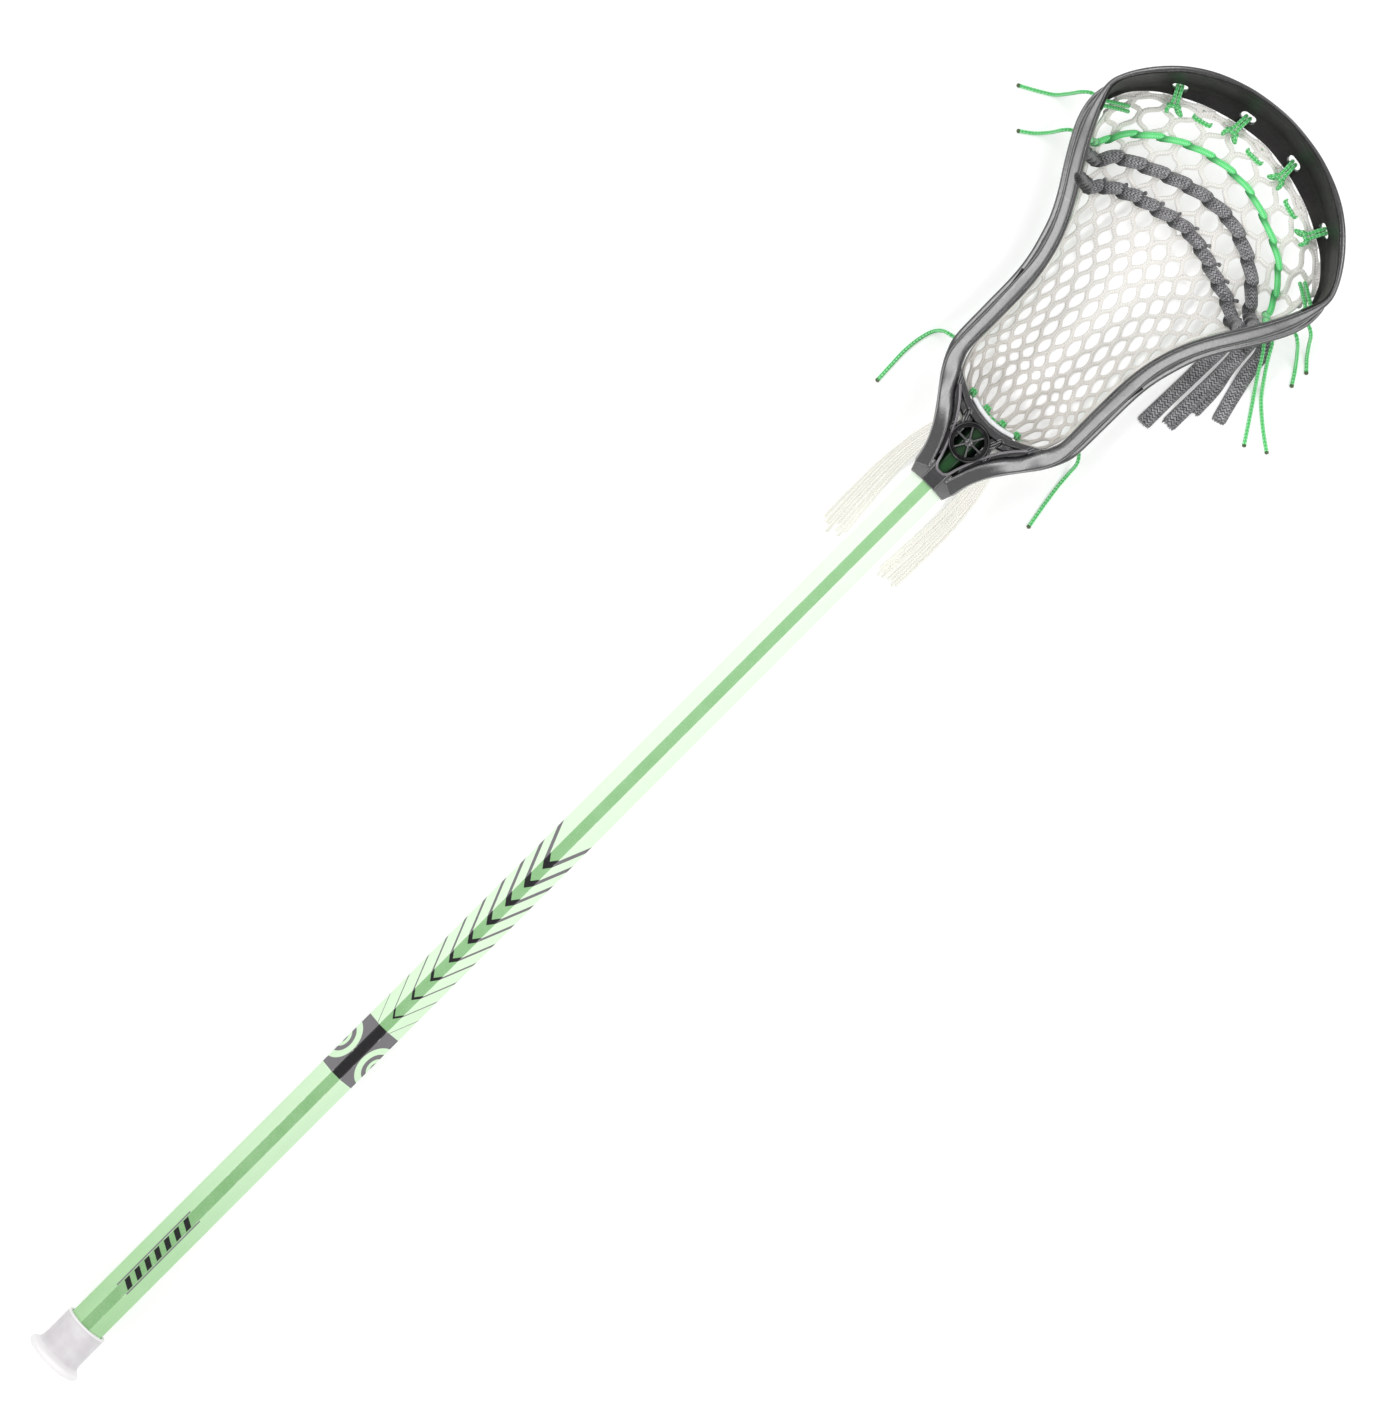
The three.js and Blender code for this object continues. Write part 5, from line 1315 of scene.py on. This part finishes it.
def mesh_bag():
    b = Build()
    width = np.interp(np.linspace(0, 1, GU), np.linspace(0, 1, GU), np.abs(np.linalg.norm(np.diff(GRID, axis=1), axis=2).sum(1)))
    n = 520
    u = np.linspace(0.0, 0.999, n)
    wid = np.interp(u, np.linspace(0, 1, GU), width)
    strand_w, strand_t = np.interp(u, [0, 0.12, 0.5, 0.7, 1], [1.9, 2.35, 2.6, 3.1, 3.3]), np.interp(u, [0, 0.6, 1], [1.8, 1.9, 2.2])
    for k in range(20):
        base = -0.95 + 0.1 * k
        parity = 1 if k % 2 == 0 else -1
        room = np.maximum(0.0, 0.05 - 0.44 * strand_w / wid)
        v = base + parity * strand_uv(base, u) * room
        v = v + (0.9 / wid) * (np.sin(u * 31 + 1.7 * k) * 0.35 + np.sin(u * 57 + 2.9 * k) * 0.22) * np.clip(u * 6, 0, 1) * np.clip((1 - u) * 6, 0, 1)
        v = np.clip(v, -1 + 1.0 / wid, 1 - 1.0 / wid)
        P = on_grid(GRID, u, v)
        N = on_grid(NORM, u, v)
        N /= np.linalg.norm(N, axis=1, keepdims=True)
        squeeze = np.clip(wid / 20 / (strand_w * 0.98), 0.70, 1.0)
        lift = 0.28 * parity * np.cos(np.pi * np.interp(u, ROW_U, np.arange(NROW)) * 1.0) + (1 - squeeze) * parity * 1.3
        P = P + N * lift[:, None]
        P[:, 2] = np.maximum(P[:, 2], floor_z(P[:, 0]) + 1.05)
        P = even(P, n - 1)
        # normals again at the even points
        T = np.gradient(P, axis=0)
        T /= np.linalg.norm(T, axis=1, keepdims=True)
        S = np.cross(N, T)
        S /= np.linalg.norm(S, axis=1, keepdims=True)
        B = np.cross(T, S)
        ring = ellipse(n, 10, strand_w * squeeze, strand_t)
        b.sweep(P, ring, frames=(T, S, B), u0=37.0 * k)
    # selvedge at the top edge and down both sides
    for off in (0.0, 0.012):
        vs = np.linspace(-0.985, 0.985, 260)
        us = np.full_like(vs, 0.998 - off) - 0.003 * np.cos(vs * 10 * np.pi) * (1 if off else -1)
        P, N = on_grid(GRID, us, vs), on_grid(NORM, us, vs)
        P = P + N * (0.5 if off else -0.3)
        b.sweep(P, ellipse(260, 10, 2.3, 1.9), u0=11.0)
    for s in (1, -1):
        us = np.linspace(0.0, 0.985, 300)
        vs = s * (1 - 0.9 / np.interp(us, np.linspace(0, 1, GU), width))
        P = on_grid(GRID, us, vs)
        b.sweep(P, ellipse(300, 10, 2.1, 1.7), u0=5.0)
    return b.object("mesh_net", M_MESH)


net = mesh_bag()
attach(net, "stick")
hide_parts("mesh_pocket")


def fringe(side):
    b = Build()
    C = route(FRINGE, 1.6)
    C = catmull(C, 160)
    C[:, 1] *= side
    T, S, B = frames_of(C, (0, 0, 1))
    s = np.linspace(0, 1, len(C))
    wid = 8 + 11 * s
    rng = np.random.default_rng(7 if side > 0 else 11)
    for q in range(8):
        off = (q + 0.5) / 8 - 0.5
        wob = 0.9 * np.sin(s * (5 + 3 * rng.random()) + 6.3 * rng.random()) * s * (1 - 0.3 * s)
        rise = 0.35 * np.abs(np.sin(s * (7 + 2 * rng.random()) + 6.3 * rng.random()))
        P = C + S * (off * wid * 0.90 + wob)[:, None]
        P[:, 2] += rise * np.minimum(1, s * 3)
        P[:, 2] = np.maximum(P[:, 2], floor_z(P[:, 0]) + 1.0)
        end = int(len(P) * (0.93 + 0.07 * rng.random()))
        P = even(P[:end], 170)
        w = np.interp(np.linspace(0, 1, 171), [0, 0.1, 1], [1.5, 2.0, 2.15])
        b.sweep(P, ellipse(171, 10, w, 1.7), u0=13.0 * q)
    o = b.object("loose_mesh_ends_" + ("left" if side > 0 else "right"), M_LOOSE)
    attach(o, "stick")
    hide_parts("mesh_fringe_left" if side > 0 else "mesh_fringe_right")
    return o


fringes = [fringe(1), fringe(-1)]


# ------------------------------------------------------------------ cords that tie the mesh to the head
def near(x, y):
    d = (GRID[..., 0] - x) ** 2 + (GRID[..., 1] - y) ** 2
    return np.unravel_index(np.argmin(d), d.shape)


def over_mesh(points, lift, count, run_on=4.5):
    P = np.array(points, float)
    a, b = P[0] - P[1], P[-1] - P[-2]
    points = [P[0] + a / np.linalg.norm(a) * run_on, *P, P[-1] + b / np.linalg.norm(b) * run_on]
    q = catmull([(x, y, 0.0) for x, y in points], count)
    out = []
    for x, y, _ in q:
        i, j = near(x, y)
        p, n = GRID[i, j], NORM[i, j]
        z = p[2] - (n[0] * (x - p[0]) + n[1] * (y - p[1])) / n[2]
        out.append([x + n[0] * lift, y + n[1] * lift, z + n[2] * lift])
    return np.array(out)


def twist_pair(b, P, core, w, t, pitch, step=0.5, phase=0.0, sides=14, wobble=0.0, lean=0.0):
    """Two strands wound round each other: core is the distance of each strand's middle from the axis."""
    n = int(length_of(P) / step)
    Q = smooth_path(even(P, n), 8)
    T, N, B = frames_of(Q)
    s = np.linspace(0, length_of(Q), n + 1)
    for k in (0, 1):
        ang = s / pitch * 2 * np.pi + k * np.pi + phase
        c = core * (1 + wobble * np.sin(s / pitch * 6.28 * 2.3 + k))
        X = Q + N * (np.cos(ang) * c)[:, None] + B * (np.sin(ang) * c)[:, None]
        radial = N * np.cos(ang)[:, None] + B * np.sin(ang)[:, None]
        TT = np.gradient(X, axis=0)
        TT /= np.linalg.norm(TT, axis=1, keepdims=True)
        side = np.cross(TT, radial)
        side /= np.linalg.norm(side, axis=1, keepdims=True)
        up = np.cross(side, TT)
        ring = ellipse(n + 1, sides, w, t, power=0.8)
        if lean:
            ring = ellipse(n + 1, sides, w, t, spin=np.full(n + 1, lean), power=0.8)
        b.sweep(X, ring, frames=(TT, side, up), dome=0.3, u0=23.0 * k)


def folds(b, P, pitch, w, t, lean, seed, loops=False, round_=0.75, dip=2.4):
    """A cord laced over and under the mesh's edge strands: each turn shows as a leaning fold that laps over the next one's start."""
    rng = np.random.default_rng(seed)
    L = length_of(P)
    count = max(1, round(L / pitch))
    pitch = L / count
    Q = smooth_path(even(P, 400), 6)
    T, S, U = frames_of(Q, (0, 0, 1))
    s = np.linspace(0, L, 401)

    def spot(d):
        return [np.stack([np.interp(d, s, A[:, k]) for k in range(3)], -1) for A in (Q, S, U)]
    m = 34
    q = np.linspace(0, 1, m)
    for k in range(count):
        jig = (rng.random(4) - 0.5)
        a = (k - 0.16 + 0.05 * jig[0]) * pitch
        c = (k + 1.13 + 0.05 * jig[1]) * pitch
        d = np.clip(a + (c - a) * q, 0.2, L - 0.2)
        X, side, up = spot(d)
        across = lean * (-1.0 + 2.0 * q) * (1 + 0.15 * jig[2])
        rise = 0.9 * np.sin(np.pi * np.clip(q * 1.02, 0, 1)) ** 0.6 + 0.75 * q ** 1.5
        dive = np.exp(-((1 - q) / 0.045) ** 2) * dip + np.exp(-(q / 0.14) ** 2) * (dip * 0.45)
        X = X + side * across[:, None] + up * (rise - dive - 0.55)[:, None]
        X[:, 2] = np.maximum(X[:, 2], floor_z(X[:, 0]) + t / 2 + 0.1)
        ww = w * (0.82 + 0.18 * np.sin(np.pi * np.clip(q, 0, 1)) ** 0.5) * (1 + 0.05 * jig[3])
        ww = ww * (1 - 0.42 * np.exp(-((1 - q) / 0.06) ** 2)) * (1 - 0.3 * np.exp(-(q / 0.08) ** 2))
        tt = t * (0.86 + 0.14 * np.sin(np.pi * q)) * (1 - 0.25 * np.exp(-((1 - q) / 0.05) ** 2))
        # painted shade: each fold darkens from its start, which lies under the fold before, and under its own end
        shade = np.maximum(np.exp(-(np.maximum(q - 0.12, 0) / 0.22) ** 2), 0.9 * np.exp(-((1 - q) / 0.06) ** 2))
        b.crease_shade[b.n] = np.append(np.repeat(shade, 26), (1.0, 1.0)).astype(np.float32)
        b.sweep(X, ellipse(m, 26, ww, tt, spin=-0.16 + 0.30 * q, power=round_), up=(0, 0, 1), dome=0.25, u0=31.0 * k)
        if loops and 0 < k < count:
            X0, s0, u0 = spot(np.array([k * pitch + 1.2]))
            e = [X0[0] + s0[0] * 2.2 - u0[0] * 1.2, X0[0] + s0[0] * 4.3 - u0[0] * 0.3 + np.array([0, -0.4, 0]), X0[0] + s0[0] * 5.6 + np.array([0, -1.3, -0.6]), X0[0] + s0[0] * 4.6 - u0[0] * 2.2 + np.array([0, -1.6, 0])]
            R = catmull(e, 18)
            b.sweep(R, ellipse(19, 12, 2.0, 1.1), up=(0, 0, 1), dome=0.3, u0=7.0 * k)


nylon_path = over_mesh([[932.7, 74.9], [940.5, 69.6], [950.1, 65.0], [965.4, 47.1], [975.3, 27.3], [979.8, 6.2], [979.0, -13.7], [972.0, -34.8], [962.1, -53.8], [946.5, -67.0], [932.3, -73.5]], NYLON_D / 2 + 0.9, 60, 8.0)
b = Build()
folds(b, nylon_path, 16.2, 4.0, 3.0, 0.95, seed=9, round_=1.0, dip=1.8)
o = b.object("nylon_shooting_string", M_NYLON)
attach(o, "stick"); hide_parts("shooting_string_nylon")

upper_path = over_mesh([[925.7, 69.5], [930.4, 64.6], [938.5, 59.0], [946.8, 44.4], [955.5, 23.2], [960.5, 3.3], [960.5, -18.3], [953.1, -38.1], [942.7, -52.6], [930.4, -63.0], [925.0, -67.5]], LACE_D / 2 + 0.4, 60, 9.0)
b = Build()
folds(b, upper_path, 14.6, 8.0, 3.6, 1.2, seed=3)
o = b.object("woven_lace_upper", M_LACE)
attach(o, "stick"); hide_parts("shooting_lace_upper")

lower_path = over_mesh([[912.4, 60.5], [916.8, 55.4], [922.0, 51.6], [931.1, 36.2], [936.9, 17.0], [940.3, -1.2], [937.4, -19.1], [931.5, -34.9], [925.9, -49.6], [917.4, -60.6]], LACE_D / 2 + 0.4, 60, 9.0)
b = Build()
folds(b, lower_path, 11.6, 7.9, 3.7, 1.6, seed=5, loops=True)
o = b.object("woven_lace_lower", M_LACE)
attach(o, "stick"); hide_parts("shooting_lace_lower")


def loop_round(b, centre, e1, e2, r1, r2, d, lead=None, turns=1.0, sides=12):
    """A cord's turn round a bar: an ellipse in the plane of e1 and e2."""
    a = np.linspace(0, 2 * np.pi * turns, int(40 * turns))
    P = centre + np.outer(np.cos(a) * r1, e1) + np.outer(np.sin(a) * r2, e2)
    b.sweep(P, circle(len(P), sides, d / 2, braid_wave(length_of(P) / len(P), 3.4)))


def beside_lip(t, s, q, dz):
    _, _, ix, iy, _, _, lx, ly, _, zb, _ = station(min(max(t, 18.0), 25.999), 1)
    dl = math.hypot(ix - lx, iy - ly)
    return [lx - (ix - lx) / dl * q, s * (ly - (iy - ly) / dl * q), zb + dz]


def top_string():
    b = Build()
    d = STRING_D
    # the run along the net's edge, just under its border strand
    pts = [beside_lip(t, 1, 1.4, -3.8) for t in np.arange(19.4, 26, 0.33)] + [beside_lip(t, -1, 1.4, -3.8) for t in np.arange(19.4, 26, 0.33)[::-1]]
    cord_mesh(b, catmull(pts, 400), d * 0.94, step=0.5)
    # stitches that show on top of the net between the slots
    for cx, cy, ex, ey in ((986.8, 36.7, 0.276, -0.961), (992.9, 0.0, 0.0, 1.0), (986.8, -36.7, 0.276, 0.961)):
        i, j = near(cx, cy)
        n = NORM[i, j]
        e = np.array([ex, ey, 0.0])
        e = e - n * np.dot(e, n)
        e /= np.linalg.norm(e)
        base = GRID[i, j] + n * 1.4
        P = catmull([base - e * 5.7 - n * 3.6, base - e * 5.4 - n * 1.2, base - e * 3.4, base, base + e * 3.4, base + e * 5.4 - n * 1.2, base + e * 5.7 - n * 3.6], 60)
        b.sweep(P, ellipse(61, 14, 3.0, 1.7), up=tuple(n), u0=3.0)
    # two cords side by side at each corner, from the rail to the net
    for s in (1, -1):
        for k in (-1, 1):
            e = np.array([0.62, -0.78 * s, 0.0])
            g = np.array([0.78 * s, 0.62, 0.0]) * k * 1.5
            c0 = np.array([951.0, s * 86.2, 0.0])
            zz = [-13.0, -12.4, -14.5, -18.0, -21.5, -25.5]
            P = catmull([c0 + e * d + g + [0, 0, z] for d, z in zip((-1.5, 1.5, 6.0, 10.5, 15.0, 18.0), zz)], 70)
            cord_mesh(b, P, STRING_D * 1.2, step=0.4)
    # at each slot: a loop round the net's edge, and two legs side by side over the lip and into the slot
    for s in (1, -1):
        for t in (22.05, 25.1):
            c, along, slope, normal, out = slot_frame(t, s)
            flat_out = out
            edge = np.array(beside_lip(t, 1, 3.0, 0))
            edge[1] *= s
            edge[2] = 0
            lip = np.array(beside_lip(t, 1, 0.0, 0.0))
            lip[1] *= s
            up = np.array([0, 0, 1.0])
            for leg in (1, -1):
                pts = [
                    lip + flat_out * 2.2 + along * leg * 1.4 - up * 3.2,
                    lip + flat_out * 6.0 + along * leg * 1.35 - up * 0.4,
                    c + along * leg * 1.3 + normal * 0.6 - slope * 0.4,
                    lip + flat_out * 3.4 + along * leg * 1.32 + up * 7.0,
                    lip + flat_out * 0.2 + along * leg * 1.35 + up * 6.0,
                    lip - flat_out * 3.6 + along * leg * 1.5 + up * 5.0,
                    lip - flat_out * 6.2 + along * leg * 2.6 + up * 4.4,
                    lip - flat_out * 8.6 + along * leg * (4.6 if leg > 0 else 3.4) + up * 3.6,
                    lip - flat_out * 9.8 + along * leg * (5.6 if leg > 0 else 3.0) + up * 1.0,
                    lip - flat_out * 7.8 + along * leg * 2.8 - up * 0.6,
                    lip - flat_out * 4.6 + along * leg * 1.6 - up * 0.4,
                ]
                cord_mesh(b, catmull(pts, 120), d * 1.12, step=0.4)
            # the turn that ties the two legs together
            loop_round(b, lip - flat_out * 6.2 + up * 4.1, along, up, 3.5, 2.3, d)
    o = b.object("top_edge_string", M_CORD)
    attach(o, "stick"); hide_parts("top_string")


top_string()


def sidewall_string(side):
    b = Build()
    path = []
    for i in range(7, 18):
        x, y = inward(RAIL[i], 0.2)
        path.append([x, side * y, RAIL[i][9] - 1.5])
    cord_mesh(b, catmull(path, 260), STRING_D, step=0.5)
    # hitches up the inner side of the lower rail and into the windows
    for t in (7.55, 8.6, 10.2, 10.8, 12.2, 12.9, 14.3, 14.8, 16.2):
        ox, oy, ix, iy, bx, by, lx, ly, zt, zb, _ = station(t, side)
        e = np.array([bx - lx, by - ly, 0.0])
        e /= np.linalg.norm(e)
        g = np.array([-e[1], e[0], 0.0])
        l = np.array([lx, ly, zb])
        for k in (-0.8, 0.8):
            P = catmull([l + e * 0.6 + g * k * 2.2 - [0, 0, 1.8], l - e * 1.1 + g * k * 1.9 - [0, 0, 0.6], l - e * 1.35 + g * k * 1.7 + [0, 0, 4.0], l - e * 1.2 + g * k * 1.5 + [0, 0, 9.0], l + e * 0.8 + g * k * 1.45 + [0, 0, 12.0], l + e * 3.6 + g * k * 1.4 + [0, 0, 12.2]], 40)
            cord_mesh(b, P, STRING_D, step=0.45)
    o = b.object("sidewall_cord_" + ("left" if side > 0 else "right"), M_CORD)
    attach(o, "stick"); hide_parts("sidewall_string_left" if side > 0 else "sidewall_string_right")


sidewall_string(1)
sidewall_string(-1)


def bottom_string():
    b = Build()
    P = catmull([[779.0, 21.9, -18.4], [777.2, 12, -18.0], [776.7, 5, -18.0], [776.6, 0, -18.0], [776.7, -5, -18.0], [777.2, -12, -18.0], [779.0, -21.9, -18.4]], 90)
    cord_mesh(b, P, STRING_D)
    for y in (19.0, 6.4, -6.4, -17.0):
        x = 777.2 + 0.004 * y * y
        for k in (-1, 1):
            a = np.linspace(0, 2 * np.pi, 40)
            Q = np.stack([x + 0.9 + 1.5 * np.cos(a), y + k * 0.95 + 0.5 * np.sin(a), -14.6 + 3.6 * np.sin(a)], -1)
            b.sweep(Q, circle(40, 12, STRING_D / 2 * 0.86, braid_wave(0.4, 3.0)))
    o = b.object("throat_string", M_CORD)
    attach(o, "stick"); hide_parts("bottom_string")


bottom_string()


# ------------------------------------------------------------------ floor and light
def plain(name, colour, rough):
    k = Nodes(name)
    return k.out(colour, rough)


bpy.ops.mesh.primitive_plane_add(size=12, location=(0, 0, 0))
floor = bpy.context.object
floor.name = "floor"
floor.data.materials.append(plain("floor", (0.72, 0.72, 0.72), 0.95))
_e = floor.data.materials[0].node_tree.nodes["Principled BSDF"]
_e.inputs["Specular IOR Level"].default_value = 0.1
_e.inputs["Emission Color"].default_value = (1, 1, 1, 1)
_e.inputs["Emission Strength"].default_value = 0.39


def area(name, where, look, size, size_y, power, colour=(1, 1, 1)):
    d = bpy.data.lights.new(name, "AREA")
    d.shape, d.size, d.size_y, d.energy, d.color = "RECTANGLE", size, size_y, power, colour
    o = bpy.data.objects.new(name, d)
    scene.collection.objects.link(o)
    o.location = where
    o.rotation_euler = (Vector(look) - Vector(where)).to_track_quat("-Z", "Y").to_euler()
    return o


area("over_left", (0.1, 1.32, 2.3), (0.1, 0, 0), 3.0, 0.68, 36.5)
area("over_right", (0.1, -1.32, 2.3), (0.1, 0, 0), 3.0, 0.68, 34.5)
area("low_left", (0.1, 2.4, 0.95), (0.1, 0, 0), 3.2, 1.5, 6)
area("low_right", (0.1, -2.4, 0.95), (0.1, 0, 0), 3.2, 1.5, 6)
area("beyond", (2.0, 0, 2.0), (0.4, 0, 0), 0.5, 2.4, 8)
area("end", (-2.3, 0.0, 0.9), (-0.3, 0, 0), 0.6, 1.6, 9)
world = bpy.data.worlds.new("world")
scene.world = world
world.use_nodes = True
world.node_tree.nodes["Background"].inputs[0].default_value = (1, 1, 1, 1)
world.node_tree.nodes["Background"].inputs[1].default_value = 0.33
scene.view_settings.view_transform = "Standard"
scene.view_settings.look = "None"
